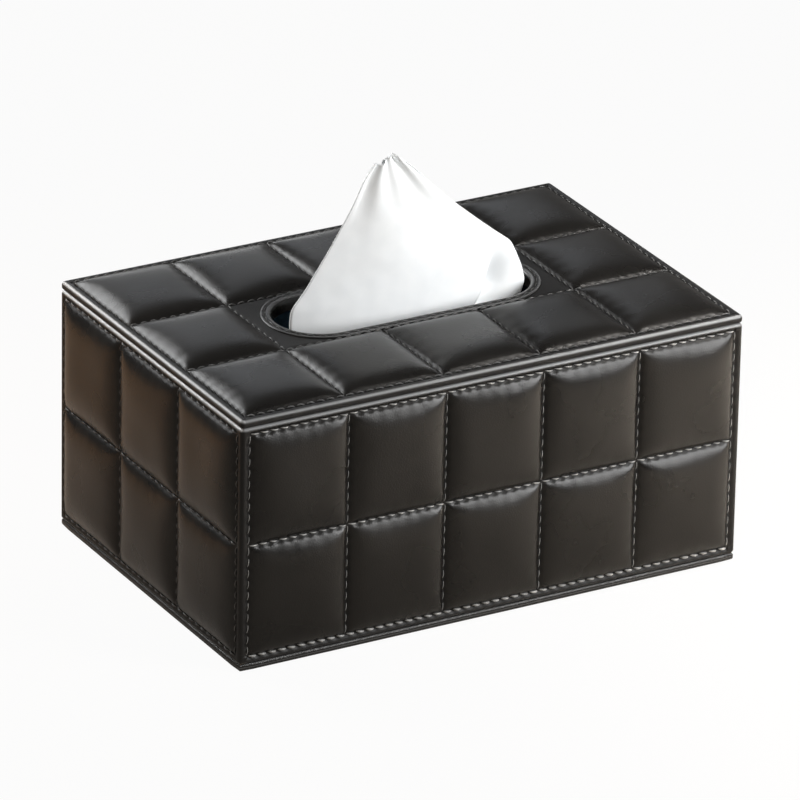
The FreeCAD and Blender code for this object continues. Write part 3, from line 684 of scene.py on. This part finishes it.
def quiltWall(name, wall):
    panel = sewnPanel(*wallLines(wall), wall)
    linesA, linesB = panel["linesA"], panel["linesB"]
    depth, height, onFace, rub, shade = wallProfile(linesB)
    along, reach, straight, bend = wallColumns(wall, linesA)
    depth, height = depth[:, None], height[:, None]
    past = np.maximum(np.abs(along) - reach, 0)[None, :]
    bendRound = box["cornerRound"]
    angle = np.clip((past - straight) / bend, 0, 1) * math.pi / 4
    onBend = (past > straight) & (depth < bendRound)
    shrink = wall["half"] - depth - reach
    plain = np.where(depth < bendRound, past, past / (straight + bend) * shrink)
    centre = wall["half"] - bendRound
    x = np.where(onBend, centre + (bendRound - depth) * np.sin(angle),
                 np.minimum(np.abs(along), reach) + plain)
    inward = np.where(onBend, bendRound - (bendRound - depth) * np.cos(angle), depth + 0 * x)
    x = x * np.sign(along + 1e-9)
    onWall = np.clip(along, -wall["half"], wall["half"])[None, :] + 0 * x
    out, shadeMask = quiltHeight(onWall, height + 0 * x, panel)
    keep = onFace[:, None]
    # painted shade on the flat margins beside the corners
    strip = smoothStep((np.abs(along) - linesA[-1]) / wallEdge["borderWide"])
    strip = wallEdge["borderShade"] * strip[None, :] * keep
    points = placeOnWall(x, height + 0 * x, out * keep - inward, wall)
    rows, columns = x.shape
    faces = gridFaces(rows, columns, closeRows=True).tolist()
    ends = np.arange(rows) * columns
    faces += [ends.tolist(), (ends + columns - 1).tolist()]
    # the painted shade and painted highlight of each point, kept for the material
    crease = np.maximum(np.maximum(shadeMask * keep, strip), shade[:, None])
    piece = addPiece(name + "Quilt", points, faces, quiltLeather, "shell", "leather",
                     crease=crease, rub=rub[:, None] * wall["worn"] + 0 * x)
    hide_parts(name + "_cover", name + "_foam")
    starts, stops, girth = quiltStitches(panel)
    outs = np.zeros((len(starts), 3)) + placeOnWall(0.0, 0.0, 1.0, wall) - placeOnWall(0.0, 0.0, 0.0, wall)
    stitchRun(name + "Stitches", placeOnWall(*starts.T, wall), placeOnWall(*stops.T, wall), outs, girth,
              wall["thread"], wall["seed"])


for name, wall in walls.items():
    quiltWall(name, wall)
print("walls quilted")

# panels with a rolled outline, and the stadium slot
slot = {
    "straight": 34.5,
    "radius": 17.5,
    "cut": 18.3,         # where the top's leather ends, under the facing
    "fieldX": 60.9,      # half the flat field round the slot
    "fieldY": 22.5,
    "rings": 12,         # from the field's edge in to the slot
    "crowd": 1.3,
}
outlineZone = 3.0        # how far from a corner the outline's points start to follow it
outlineShare = 0.78      # the part of that way along the side, before the arc


def stadium(share, radius):
    # once round the slot from the middle of its front side: straight, half circle, straight, half circle
    straight, arc = 2 * slot["straight"], math.pi * slot["radius"]
    s = (np.asarray(share) % 1.0) * (2 * straight + 2 * arc)
    s = np.where(s < slot["straight"], s + 2 * straight + 2 * arc, s) - slot["straight"]
    angle = np.select([s < arc, s < arc + straight, s < 2 * arc + straight],
                      [s / arc, 1 + 0 * s, 1 + (s - arc - straight) / arc], 2 + 0 * s) * math.pi - math.pi / 2
    slide = np.select([s < arc, s < arc + straight, s < 2 * arc + straight],
                      [1 + 0 * s, 1 - 2 * (s - arc) / straight, -1 + 0 * s],
                      -1 + 2 * (s - 2 * arc - straight) / straight)
    return np.stack([slide * slot["straight"] + radius * np.cos(angle), radius * np.sin(angle)], -1)


def roundIndex(rows, columns):
    # the border points of a grid in order: front side, right, back, left
    grid = np.arange(rows * columns).reshape(rows, columns)
    return np.concatenate([grid[0, :-1], grid[:-1, -1], grid[-1, :0:-1], grid[:0:-1, 0]])


def roundedOutline(border, inset, halfX, halfY):
    # a border point of the inner rectangle pushed out to the rounded outline: straight out along
    # the sides, and near a corner along the side and then round a quarter of its arc
    rectX, rectY = np.abs(border[:, 0]).max(), np.abs(border[:, 1]).max()
    bend, zone, share = box["cornerRound"], outlineZone, outlineShare
    toX, toY = rectX - np.abs(border[:, 0]), rectY - np.abs(border[:, 1])
    onX = toY <= toX                      # on a front or back side
    gap = np.where(onX, toX, toY)
    e = np.clip(1 - gap / zone, 0, 1)
    startX, startY = rectX - zone, rectY - zone
    radius = max(bend - inset, 0)
    slide = np.minimum(e / share, 1)
    angle = np.clip((e - share) / (1 - share), 0, 1) * math.pi / 4
    longX = np.where(e > 0, startX + slide * (halfX - bend - startX), np.abs(border[:, 0]))
    longY = np.where(e > 0, startY + slide * (halfY - bend - startY), np.abs(border[:, 1]))
    sideways, outwards = radius * np.sin(angle), radius * np.cos(angle)
    over = bend - inset - radius
    x = np.where(onX, longX + sideways, halfX - bend + outwards + over)
    y = np.where(onX, halfY - bend + outwards + over, longY + sideways)
    return np.stack([x * np.sign(border[:, 0] + 1e-9), y * np.sign(border[:, 1] + 1e-9)], -1)


def ringFaces(loops):
    # quads between loops of point numbers, each loop closed
    faces = []
    for a, b in zip(loops, loops[1:]):
        faces += np.stack([a, np.roll(a, -1), np.roll(b, -1), b], -1).tolist()
    return faces


def rolledPanel(xs, ys, heightAt, ring, halfX, halfY, slotted):
    # a grid over the panel's face, rings of points down its rolled edge, and, where it is
    # slotted, rings from the field round the slot in to the slot's outline
    gx, gy = np.meshgrid(xs, ys)
    height, shadeMask = heightAt(gx, gy)
    points = [np.stack([gx, gy, height], -1).reshape(-1, 3)]
    # each point keeps its painted shade and painted highlight for the material
    crease = [shadeMask.ravel()]
    rub = [0 * shadeMask.ravel()]
    rows, columns = gx.shape
    faces = gridFaces(rows, columns)
    count = rows * columns
    border = roundIndex(rows, columns)
    loops = [border]
    flat = points[0][border][:, :2]
    for inset, level, worn, shaded in ring:
        loop = roundedOutline(flat, inset, halfX, halfY)
        points.append(np.column_stack([loop, np.full(len(loop), level)]))
        crease.append(np.full(len(loop), shaded))
        rub.append(np.full(len(loop), worn))
        loops.append(np.arange(count, count + len(loop)))
        count += len(loop)
    slotLoops = []
    if slotted:
        middle = points[0][faces].mean(1)
        inField = (np.abs(middle[:, 0]) < slot["fieldX"]) & (np.abs(middle[:, 1]) < slot["fieldY"])
        faces = faces[~inField]
        inX = np.flatnonzero(np.abs(xs) < slot["fieldX"] + 1e-6)
        inY = np.flatnonzero(np.abs(ys) < slot["fieldY"] + 1e-6)
        grid = np.arange(rows * columns).reshape(rows, columns)[np.ix_(inY, inX)]
        edge = grid.ravel()[roundIndex(*grid.shape)]
        rim = points[0][edge][:, :2]
        # matched round the slot by distance along the field's edge from the middle of its front
        step = np.linalg.norm(np.diff(rim, axis=0, append=rim[:1]), axis=1)
        share = np.concatenate([[0], np.cumsum(step)[:-1]]) / step.sum()
        share = share - share[np.argmin(np.abs(rim[:, 0]) + np.where(rim[:, 1] < 0, 0, 999))]
        target = stadium(share, slot["cut"])
        slotLoops = [edge]
        for part in np.linspace(0, 1, slot["rings"] + 1)[1:]:
            loop = rim + (target - rim) * part ** slot["crowd"]
            level, shadeMask = heightAt(loop[:, 0], loop[:, 1])
            points.append(np.column_stack([loop, level]))
            crease.append(shadeMask)
            rub.append(0 * shadeMask)
            slotLoops.append(np.arange(count, count + len(loop)))
            count += len(loop)
        points.append(np.column_stack([target, np.full(len(target), ring[-1][1])]))
        crease.append(np.zeros(len(target)))
        rub.append(np.zeros(len(target)))
        slotLoops.append(np.arange(count, count + len(target)))
    faces = faces.tolist() + ringFaces(loops) + (ringFaces(slotLoops) if slotted else [loops[-1].tolist()])
    return np.concatenate(points), faces, np.concatenate(crease), np.concatenate(rub)


def fillUnderside(piece):
    # the flat underside between the outer outline and the slot's
    bm = bmesh.new()
    bm.from_mesh(piece.data)
    rims = [e for e in bm.edges if len(e.link_faces) == 1]
    bmesh.ops.triangle_fill(bm, edges=rims, use_beauty=False)
    bmesh.ops.recalc_face_normals(bm, faces=bm.faces)
    bm.to_mesh(piece.data)
    bm.free()


def quarter(inset, level, radius, up, worn=0.0, shaded=0.0, steps=7):
    # the rings of a quarter round, from the face out to the side or from the side in to the rim, with a painted
    # highlight set by a power of the sine of twice the turn
    turn = np.linspace(0, math.pi / 2, steps)
    rub = worn * np.sin(2 * turn) ** rubPower
    if up:
        return [(inset + radius - radius * math.sin(t), level - radius + radius * math.cos(t), r, shaded)
                for t, r in zip(turn, rub)]
    return [(inset + radius - radius * math.cos(t), level + radius - radius * math.sin(t), r, shaded)
            for t, r in zip(turn, rub)]


topLook = {
    "pull": 0.4,
    "tuck": 0.5,
    "seed": 15,
    # the painted highlight along the top's rolled edge, stronger along the left edge
    "worn": 0.29,
    "leftHighlight": 0.62,
    "girths": (1.0, 1.0, 1.0),
    "beyond": (0.25, 0.5),   # grid lines outside the outer seams
    "flatEnd": 1.7,          # where the flat margin ends, in from the side
    "underRoll": 0.25,       # the shaded line under the roll
    "inside": 0.95,          # the leather's inner side
    "gap": 0.04,             # between the panel and the walls
}


def topPanel():
    borderX, borderY = box["halfLength"] - quilt["sideMargin"], box["halfDepth"] - quilt["sideMargin"]
    linesA, linesB = np.linspace(-borderX, borderX, 6), np.linspace(-borderY, borderY, 4)
    filled = np.ones((5, 3))
    filled[1:4, 1] = 0
    panel = sewnPanel(linesA, linesB, filled, topLook)

    def heightAt(x, y):
        out, shadeMask = quiltHeight(x, y, panel)
        return box["top"] + out, shadeMask

    edge = np.array(topLook["beyond"])
    xs, ys = panelLines(linesA, quilt["steps"]), panelLines(linesB, quilt["steps"])
    xs = np.concatenate([xs[0] - edge[::-1], xs, xs[-1] + edge])
    ys = np.concatenate([ys[0] - edge[::-1], ys, ys[-1] + edge])
    under, inside = box["wallTop"] + topLook["gap"], topLook["inside"]
    ring = [(topLook["flatEnd"], box["top"], 0.0, 0.0)]
    ring += quarter(0.0, box["top"], box["topRoll"], True, worn=topLook["worn"])
    # painted shade under the roll, on the lower rim and on the inner side
    ring += [(0.0, box["top"] - box["topRoll"] - topLook["underRoll"], 0.0, 1.0)]
    ring += quarter(0.0, under, box["rimRoll"], False, shaded=1.0)
    ring += [(inside, under, 0.0, 1.0), (inside, box["top"] - box["boardFace"], 0.0, 1.0)]
    points, faces, crease, rub = rolledPanel(
        xs, ys, heightAt, ring, box["halfLength"], box["halfDepth"], True)
    # the painted highlight is stronger along the left edge
    onLeft = points[:, 0] < box["topRoll"] - box["halfLength"]
    rub = rub * np.where(onLeft, topLook["leftHighlight"] / topLook["worn"], 1.0)
    piece = addPiece("topQuilt", points, faces, quiltLeather, "shell", "leather", crease=crease, rub=rub)
    fillUnderside(piece)
    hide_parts("top_cover", "top_foam")
    starts, stops, girth = quiltStitches(panel)
    lift = np.array([0, 0, box["top"]])
    outs = np.tile([0.0, 0.0, 1.0], (len(starts), 1))
    stitchRun("topStitches", starts + lift, stops + lift, outs, girth, shadedThread, topLook["seed"])


topPanel()
print("top quilted")

# leather facing round the slot
facing = {
    # out from the slot's edge and up, once round the facing: collar, rolled rim, sewn flange
    "profile": np.array([
        (0.00, 95.45), (0.00, 97.2), (0.00, 98.6), (0.05, 99.1), (0.20, 99.6), (0.45, 100.02),
        (0.80, 100.33), (1.20, 100.50), (1.65, 100.57), (2.10, 100.56), (2.50, 100.49), (2.90, 100.40),
        (3.30, 100.47), (3.70, 100.54), (4.02, 100.53), (4.25, 100.44), (4.38, 100.26), (4.40, 100.03),
        (2.6, 100.03), (0.9, 100.03), (0.72, 98.4), (0.72, 95.45),
    ]),
    "seam": 2.9,
    "seamWide": 0.45,
    "seamLevel": 100.32,
    # painted shade along the seam
    "seamShade": 0.7,
    "dip": 0.12,
    "above": 100.1,      # only points above this are pulled, shaded or rubbed
    "rubbed": ((1.0, 0.5, 1.0), (4.0, 0.3, 0.7)),    # painted highlight: where out, how wide and how much
    "worn": 0.175,
    "girth": 0.55,
    "seed": 16,
    "stitches": 62,
    "steps": 372,
}


def slotFacing():
    # the profile carried once round the stadium; the flange dips at the seam, bulging by each stitch
    share = np.arange(facing["steps"]) / facing["steps"]
    reach, level = facing["profile"].T
    loops = []
    above = level > facing["above"]
    near = np.exp(-((reach - facing["seam"]) / facing["seamWide"]) ** 2) * above
    wave = 0.5 + 0.5 * np.cos(full * facing["stitches"] * share)
    for out, up, hold in zip(reach, level, near):
        loop = stadium(share, slot["radius"] + out)
        loops.append(np.column_stack([loop, up - facing["dip"] * hold * wave]))
    # a painted highlight on the rolled rim and on the flange's edge, and painted shade along the seam
    rim = sum(share * np.exp(-((reach - out) / wide) ** 2) for out, wide, share in facing["rubbed"]) * above
    points = np.stack(loops)
    ones = np.ones((1, facing["steps"]))
    faces = gridFaces(len(reach), facing["steps"], True, True)
    crease, rub = facing["seamShade"] * near[:, None] * ones, facing["worn"] * rim[:, None] * ones
    piece = addPiece("slotFacing", points, faces, facingLeather, "shell", "leather", crease=crease, rub=rub)
    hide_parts("slot_facing")
    holes = np.arange(facing["stitches"] + 1) / facing["stitches"]
    seam = stadium(holes, slot["radius"] + facing["seam"])
    line = np.column_stack([seam, np.full(len(holes), facing["seamLevel"])])
    outs = np.tile([0.0, 0.0, 1.0], (len(line) - 1, 1))
    stitchRun("slotStitches", line[:-1], line[1:], outs, facing["girth"], shadedThread, facing["seed"])


slotFacing()
print("slot faced")


# base flap
def plainLines(half, step):
    return np.linspace(-half, half, max(2, int(2 * half / step)) + 1)


base = {
    "margin": 3.0,       # the flat face's grid ends this far in from the edge
    "step": 3.0,
    "face": 0.05,        # the flat face's height
    "uneven": 0.01,
    "unevenWave": 40.0,
    "seed": 17,
    "foot": 0.03,        # where the part rests
    "flatEnd": 1.5,
    "turnedUp": 0.06,    # how far the turned edge stands above the board
    # painted highlight along the foot roll and the rim
    "worn": 0.08,
    "rimHighlight": 0.05,
    "lip": (3.0, 5.8),   # the turned edge's middle and end
    "overBoard": 0.005,
    "inside": 0.95,      # the leather's inner side
}


def baseWrap():
    # the leather under the base board: a flat face with slow unevenness, rolled up at the edge
    # and turned in over the board's upper side
    halfX, halfY = box["halfLength"], box["halfDepth"]
    xs, ys = (plainLines(half - base["margin"], base["step"]) for half in (halfX, halfY))

    def heightAt(x, y):
        return base["face"] + base["uneven"] * slowNoise(x, y, base["seed"], base["unevenWave"]), 0 * x

    turned = box["baseTop"] + base["turnedUp"]
    # a painted highlight on the foot roll and the rim, and painted shade on the lip turned in over the board
    ring = [(base["flatEnd"], base["foot"], 0.0, 0.0)]
    ring += [(inset, base["foot"] - level, worn, shaded)
             for inset, level, worn, shaded in quarter(0.0, 0.0, box["footRoll"], True, worn=base["worn"])]
    ring += [(0.0, (box["footRoll"] + turned - box["baseRim"]) / 2, base["worn"], 0.0)]
    ring += [(inset, 2 * turned - level, worn, shaded)
             for inset, level, worn, shaded in quarter(0.0, turned, box["baseRim"], False, worn=base["rimHighlight"])]
    middle, end = base["lip"]
    onBoard, inside = box["baseTop"] + base["overBoard"], base["inside"]
    ring += [(inset, level, 0.0, 1.0) for inset, level in (
        (middle, turned), (end, turned), (end, onBoard), (inside, onBoard), (inside, inside))]
    points, faces, crease, rub = rolledPanel(xs, ys, heightAt, ring, halfX, halfY, False)
    piece = addPiece("baseWrap", points, faces, baseLeather, "base_flap", "leather", crease=crease, rub=rub)
    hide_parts("base_cover")


baseWrap()


hinge = {
    "side": 29,          # points up one side of the section
    "stations": 81,      # sections along the box
    "squareness": 14,
    "leastEdge": 0.04,
    "fullness": 0.96,
    "inGap": 0.02,
    "ripple": 0.04,
    "rippleWave": 22.0,
    "seed": 18,
    "worn": 0.3,
}


def hingeStrip():
    # a leather band along the back: a flattened oval section carried along the box
    low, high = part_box("hinge_strip")
    low, high = np.array(low) / mm, np.array(high) / mm
    side, stations = hinge["side"], hinge["stations"]
    around = 2 * side
    up = np.concatenate([np.linspace(low[2], high[2], side), np.linspace(high[2], low[2], side)])
    fromMiddle = np.abs(2 * (up - low[2]) / (high[2] - low[2]) - 1)
    edge = np.sqrt(np.clip(1 - fromMiddle ** hinge["squareness"], hinge["leastEdge"], 1))
    outside = np.arange(around) < side
    thick = (high[1] - low[1]) * hinge["fullness"]
    y = np.where(outside, high[1] - thick * 0.5 + thick * 0.5 * edge, low[1] + hinge["inGap"])
    x = np.linspace(low[0], high[0], stations)
    ripple = hinge["ripple"] * slowNoise(x[None, :], up[:, None] * 4, hinge["seed"], hinge["rippleWave"])
    y = y[:, None] + ripple * outside[:, None]
    points = np.stack(np.broadcast_arrays(x[None, :], y, up[:, None]), -1)
    ends = np.arange(around) * stations
    faces = gridFaces(around, stations, closeRows=True).tolist()
    faces += [ends.tolist(), (ends + stations - 1).tolist()]
    # a painted highlight along the band's upper and lower edges
    rows = np.ones((1, stations))
    piece = addPiece("hingeStrip", points, faces, baseLeather, None, "leather",
                     crease=np.zeros((around, stations)), rub=(hinge["worn"] * (1 - edge))[:, None] * rows)
    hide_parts("hinge_strip")
    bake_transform(piece)


hingeStrip()
print("base flap and hinge made")


# felt lining
feltForm = {
    "margin": 3.0,       # the face's grid ends this far in from the edge
    "step": 2.5,
    "sunk": 0.07,        # how far the face lies under the CAD node's
    "uneven": 0.05,
    "unevenWave": 9.0,
}


def feltSheet(name, node, body, outward, slotted=False):
    # a felt slab over the CAD node's box: its face has slow unevenness and its edges are soft
    low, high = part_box(node)
    low, high = np.array(low) / mm, np.array(high) / mm
    axis = int(np.argmax(np.abs(outward)))
    sign = float(np.sign(outward[axis]))
    a, b = [k for k in range(3) if k != axis]
    centre, half = (low + high) / 2, (high - low) / 2
    thick = 2 * half[axis]
    halfA, halfB = half[a], half[b]
    xs, ys = (plainLines(side - feltForm["margin"], feltForm["step"]) for side in (halfA, halfB))
    if slotted:
        xs = np.unique(np.concatenate([xs, [-slot["fieldX"], slot["fieldX"]]]))
        ys = np.unique(np.concatenate([ys, [-slot["fieldY"], slot["fieldY"]]]))

    def heightAt(x, y):
        noise = slowNoise(x, y, len(name) + axis, feltForm["unevenWave"])
        return thick - feltForm["sunk"] + feltForm["uneven"] * noise, 0 * x

    ring = [(inset, level, 0.0, 0.0) for inset, level in (
        (1.6, thick - 0.06), (0.5, thick - 0.08), (0.16, thick * 0.8), (0.05, thick * 0.5), (0.02, 0.02))]
    points, faces, crease, rub = rolledPanel(xs, ys, heightAt, ring, halfA, halfB, slotted)
    placed = np.zeros_like(points)
    placed[:, a] = points[:, 0] + centre[a]
    placed[:, b] = points[:, 1] + centre[b]
    placed[:, axis] = centre[axis] - sign * half[axis] + sign * points[:, 2]
    piece = addPiece(name, placed, faces, felt, body, "felt")
    if slotted:
        fillUnderside(piece)
    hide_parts(node)
    return piece, (2 * halfA * mm, 2 * halfB * mm)


linings = {
    "frontFelt": ("front_lining", "shell", (0, 1, 0), "front_board"),
    "backFelt": ("back_lining", "shell", (0, -1, 0), "back_board"),
    "leftFelt": ("left_lining", "shell", (1, 0, 0), "left_board"),
    "rightFelt": ("right_lining", "shell", (-1, 0, 0), "right_board"),
    "topFelt": ("top_lining", "shell", (0, 0, -1), "top_board"),
    "baseFelt": ("base_lining", "base_flap", (0, 0, 1), "base_board"),
}
for name, (node, body, outward, board) in linings.items():
    piece, cut = feltSheet(name, node, body, outward, slotted=name == "topFelt")
print("lining laid")

# the tissue standing in the slot
tissue = {
    # height, left edge and right edge along the slot, front and back across it
    "outline": np.array([
        (76.0, -45.5, 43.0, -9.5, 4.0),
        (90.0, -48.0, 45.5, -11.5, 5.0),
        (100.0, -49.6, 49.2, -12.0, 5.5),
        (106.0, -49.0, 47.8, -11.5, 5.5),
        (112.0, -43.6, 45.4, -10.8, 5.3),
        (117.0, -40.2, 43.0, -10.0, 5.1),
        (121.0, -37.4, 37.6, -9.5, 4.9),
        (127.0, -33.2, 30.2, -8.6, 4.4),
        (136.0, -27.4, 19.6, -7.4, 3.8),
        (145.0, -22.2, 10.2, -6.2, 3.0),
        (152.0, -18.6, 3.4, -4.6, 1.2),
        (158.5, -13.0, -4.0, -3.0, -0.8),
    ]),
    "foldLine": -4.0,     # where the doubled sheet is folded, across the slot
    "flat": (0.19, 0.082),
    "wide": 240,
    "tall": 120,
    "pleats": 3,
    "pleatDeep": 0.8,
    "thick": 0.22,
}


def tissueSheet():
    # a sheet folded double at its left edge: the back layer runs in from the right, the front
    # layer runs out again; each bows away from the fold line, broad waves cross it, pleats form
    # at the pinched top, and at the lower right one fold laps over a hollow
    look = tissue
    v = np.linspace(0, 1, look["tall"])[:, None]
    # -1 is the back layer's end, 0 the fold, 1 the front layer's end
    u = np.linspace(-1, 1, look["wide"])[None, :]
    across = np.abs(u)
    front = u > 0
    level = look["outline"][:, 0]
    topDrop = 1.2 * np.sin(across * 6.0 + 0.5) + 1.5 * (across - 0.5) ** 2 + 1.6 * smoothStep(-4 * u)
    z = level[0] + (level[-1] - level[0] - topDrop) * v
    fine = np.linspace(level[0], level[-1], 400)
    soft = np.hanning(31)
    soft = soft / soft.sum()
    edges = []
    for column in look["outline"].T[1:]:
        table = np.interp(fine, level, column)
        table = np.convolve(np.pad(table, 15, mode="edge"), soft, mode="valid")
        edges.append(np.interp(z, fine, table))
    left, right, ahead, behind = edges
    rise = (z - level[0]) / (level[-1] - level[0])
    x = left + (right - left) * across - np.where(front, 0, 3.0 * across * (1 - rise))
    bow = 1 - np.abs(2 * across - 1) ** 2.4
    fold = look["foldLine"] - 3.0 * across * (1 - rise)
    y = fold + np.where(front, ahead - fold, behind - fold) * bow
    pleat = look["pleatDeep"] * smoothStep((rise - 0.62) / 0.38)
    y = y + pleat * np.sin(full * look["pleats"] * across + 0.6 * u) * smoothStep(across / 0.08)
    wave = np.sin(full * 1.15 * across + 0.8 + 1.5 * rise) * smoothStep((z - 97) / 25) * bow
    y = y + np.where(front, 1.0, 1.4) * wave
    lip = across - (0.79 + 0.0055 * (z - 96))
    hollow = np.exp(-np.where(lip < 0, lip / 0.014, lip / 0.075) ** 2) * np.exp(-((z - 101) / 9.0) ** 2)
    y = y + 6.0 * hollow * front
    y = y + 0.05 * slowNoise(x, z, 22, 9.0) * smoothStep((z - 96) / 8)
    points = np.stack(np.broadcast_arrays(x, y, z), -1)
    faces = gridFaces(look["tall"], look["wide"])
    piece = addPiece("tissueSheet", points, faces, tissuePaper, "tissue_sheet", "tissue", sharp=180)
    thicken = piece.modifiers.new("thickness", "SOLIDIFY")
    thicken.thickness = look["thick"] * mm
    thicken.offset = 0
    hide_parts("tissue")


tissueSheet()
print("tissue placed")

# CAD nodes that stay
stays = {"wall_magnets": ferrite, "base_keepers": steel}
for side in ("front", "back", "left", "right", "top", "base"):
    stays[side + "_board"] = fibreboard
for node, material in stays.items():
    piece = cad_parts[node]
    if not piece.material_slots:
        piece.data.materials.append(None)
    for place in piece.material_slots:
        place.link = "OBJECT"
        place.material = material

# stage, light and camera
stage = {
    "floor": 6.0,
    "floorColour": (0.52, 0.47, 0.41, 1),
    "drop": 0.0002,          # how far the floor lies under the part
    "floorSeen": 0.955,      # how much of the floor is white to the camera
    "floorMirrored": 0.10,   # and in reflections
    "skyMirrored": 0.10,
    "ambient": 0.10,
}


def mixedShader(make, join, share, first, second, output):
    mixed = make("ShaderNodeMixShader")
    join(share, mixed.inputs[0])
    join(first.outputs[0], mixed.inputs[1])
    join(second.outputs[0], mixed.inputs[2])
    join(mixed.outputs[0], make(output).inputs["Surface"])


def floorPlane():
    # a pale floor that shows nearly white to the camera, keeping a little of the shadow, and only
    # a tenth white in reflections
    half, low = stage["floor"], -stage["drop"]
    mesh = bpy.data.meshes.new("floor")
    corners = [(-half, -half, low), (half, -half, low), (half, half, low), (-half, half, low)]
    mesh.from_pydata(corners, [], [(0, 1, 2, 3)])
    floor = bpy.data.objects.new("floor", mesh)
    bpy.context.scene.collection.objects.link(floor)
    material = bpy.data.materials.new("paleFloor")
    material.use_nodes = True
    tree = material.node_tree
    tree.nodes.clear()
    make, join = nodeKit(tree)
    path = make("ShaderNodeLightPath")
    glossy, through = path.outputs["Is Glossy Ray"], path.outputs["Is Transmission Ray"]
    mirrored = mathNode(make, join, "MAXIMUM", glossy, through)
    mirrored = mathNode(make, join, "MULTIPLY", mirrored, stage["floorMirrored"])
    seen = mathNode(make, join, "MULTIPLY", path.outputs["Is Camera Ray"], stage["floorSeen"])
    share = mathNode(make, join, "MAXIMUM", seen, mirrored)
    plain = make("ShaderNodeBsdfDiffuse", Color=stage["floorColour"])
    glow = make("ShaderNodeEmission", Color=(1, 1, 1, 1), Strength=1.0)
    mixedShader(make, join, share, plain, glow, "ShaderNodeOutputMaterial")
    mesh.materials.append(material)


floorPlane()

world = bpy.data.worlds.new("studio")
bpy.context.scene.world = world
world.use_nodes = True
world.node_tree.nodes.clear()
make, join = nodeKit(world.node_tree)
path = make("ShaderNodeLightPath")
seen = mathNode(make, join, "MAXIMUM", path.outputs["Is Camera Ray"], path.outputs["Is Transmission Ray"])
mirrored = mathNode(make, join, "MULTIPLY", path.outputs["Is Glossy Ray"], stage["skyMirrored"])
seen = mathNode(make, join, "MAXIMUM", seen, mirrored)
ambient = make("ShaderNodeBackground", Color=(1.0, 0.98, 0.96, 1), Strength=stage["ambient"])
white = make("ShaderNodeBackground", Color=(1, 1, 1, 1), Strength=1.0)
mixedShader(make, join, seen, ambient, white, "ShaderNodeOutputWorld")

# softboxes: place, aim and size in metres, spread in degrees; one is given instead by its compass
# bearing from the back (+Y) towards +X and its rise in degrees, and its distance in metres
coolWhite = (0.97, 0.985, 1)
softboxes = {
    "backLight": {"place": (-0.18, 0.26, 0.26), "aim": (-0.03, 0.0, 0.10), "size": (0.30, 0.16),
                  "power": 0.42, "spread": 100, "colour": coolWhite},
    "rightLight": {"place": (0.52, -0.66, 0.42), "aim": (0.03, -0.05, 0.06), "size": (0.35, 0.6),
                   "power": 9.6, "colour": coolWhite},
    "backFill": {"place": (0.52, 1.20, 0.72), "aim": (0.0, 0.0, 0.09), "size": (0.50, 0.42),
                 "power": 0.56, "colour": (0.88, 0.93, 1)},
    "lowLight": {"place": (0.12, 0.52, 0.145), "aim": (-0.06, 0.0, 0.10), "size": (0.22, 0.08),
                 "power": 0.012, "spread": 60, "colour": coolWhite},
    "leftLight": {"bearing": 250, "rise": 25, "away": 1.5, "size": (0.6, 0.5),
                  "power": 1.5, "colour": (1, 0.90, 0.76)},
    "floorLight": {"place": (0.32, -0.22, 0.7), "aim": (0.30, -0.18, 0.0), "size": (0.25, 0.25),
                   "power": 2.0, "spread": 50, "colour": (1, 0.97, 0.93)},
    "warmPool": {"place": (-0.28, 0.27, 0.6), "aim": (-0.25, 0.24, 0.0), "size": (0.25, 0.25),
                 "power": 0.34, "spread": 45, "colour": (1, 0.54, 0.22)},
}
middle = np.array([0.0, 0.0, 0.06])
for name, look in softboxes.items():
    lamp = bpy.data.lights.new(name, "AREA")
    lamp.shape = "RECTANGLE"
    lamp.size, lamp.size_y = look["size"]
    lamp.energy = look["power"]
    lamp.color = look["colour"]
    lamp.spread = math.radians(look.get("spread", 180))
    holder = bpy.data.objects.new(name, lamp)
    bpy.context.scene.collection.objects.link(holder)
    holder.visible_camera = False
    if "place" in look:
        place, aim = np.array(look["place"]), np.array(look["aim"])
    else:
        bearing, rise = math.radians(look["bearing"]), math.radians(look["rise"])
        level = math.cos(rise)
        away = np.array([math.sin(bearing) * level, math.cos(bearing) * level, math.sin(rise)])
        place, aim = middle + away * look["away"], middle
    holder.location = place
    holder.rotation_euler = Vector(aim - place).to_track_quat("-Z", "Y").to_euler()

# long lens from the front left, as in the photograph
view = {"bearing": -29.744, "rise": 24.301, "away": 3.0553, "roll": 1.1466,
        "aim": (0.00037, 0.0, 0.05835), "lens": 370.0}
bearing, rise, roll = (math.radians(view[key]) for key in ("bearing", "rise", "roll"))
back = np.array([math.sin(bearing) * math.cos(rise), -math.cos(bearing) * math.cos(rise), math.sin(rise)])
right = np.cross(-back, [0, 0, 1])
right = right / np.linalg.norm(right)
above = np.cross(right, -back)
cosine, sine = math.cos(roll), math.sin(roll)
right, above = right * cosine + above * sine, above * cosine - right * sine
lens = bpy.data.cameras.new("camera")
lens.lens = view["lens"]
lens.sensor_width = 36.0
lens.clip_end = 50.0
camera = bpy.data.objects.new("camera", lens)
bpy.context.scene.collection.objects.link(camera)
turn = np.eye(4)
turn[:3, 0], turn[:3, 1], turn[:3, 2] = right, above, back
turn[:3, 3] = np.array(view["aim"]) + back * view["away"]
camera.matrix_world = Matrix(turn.tolist())
bpy.context.scene.camera = camera
bpy.context.scene.view_settings.view_transform = "Standard"
print("stage set")
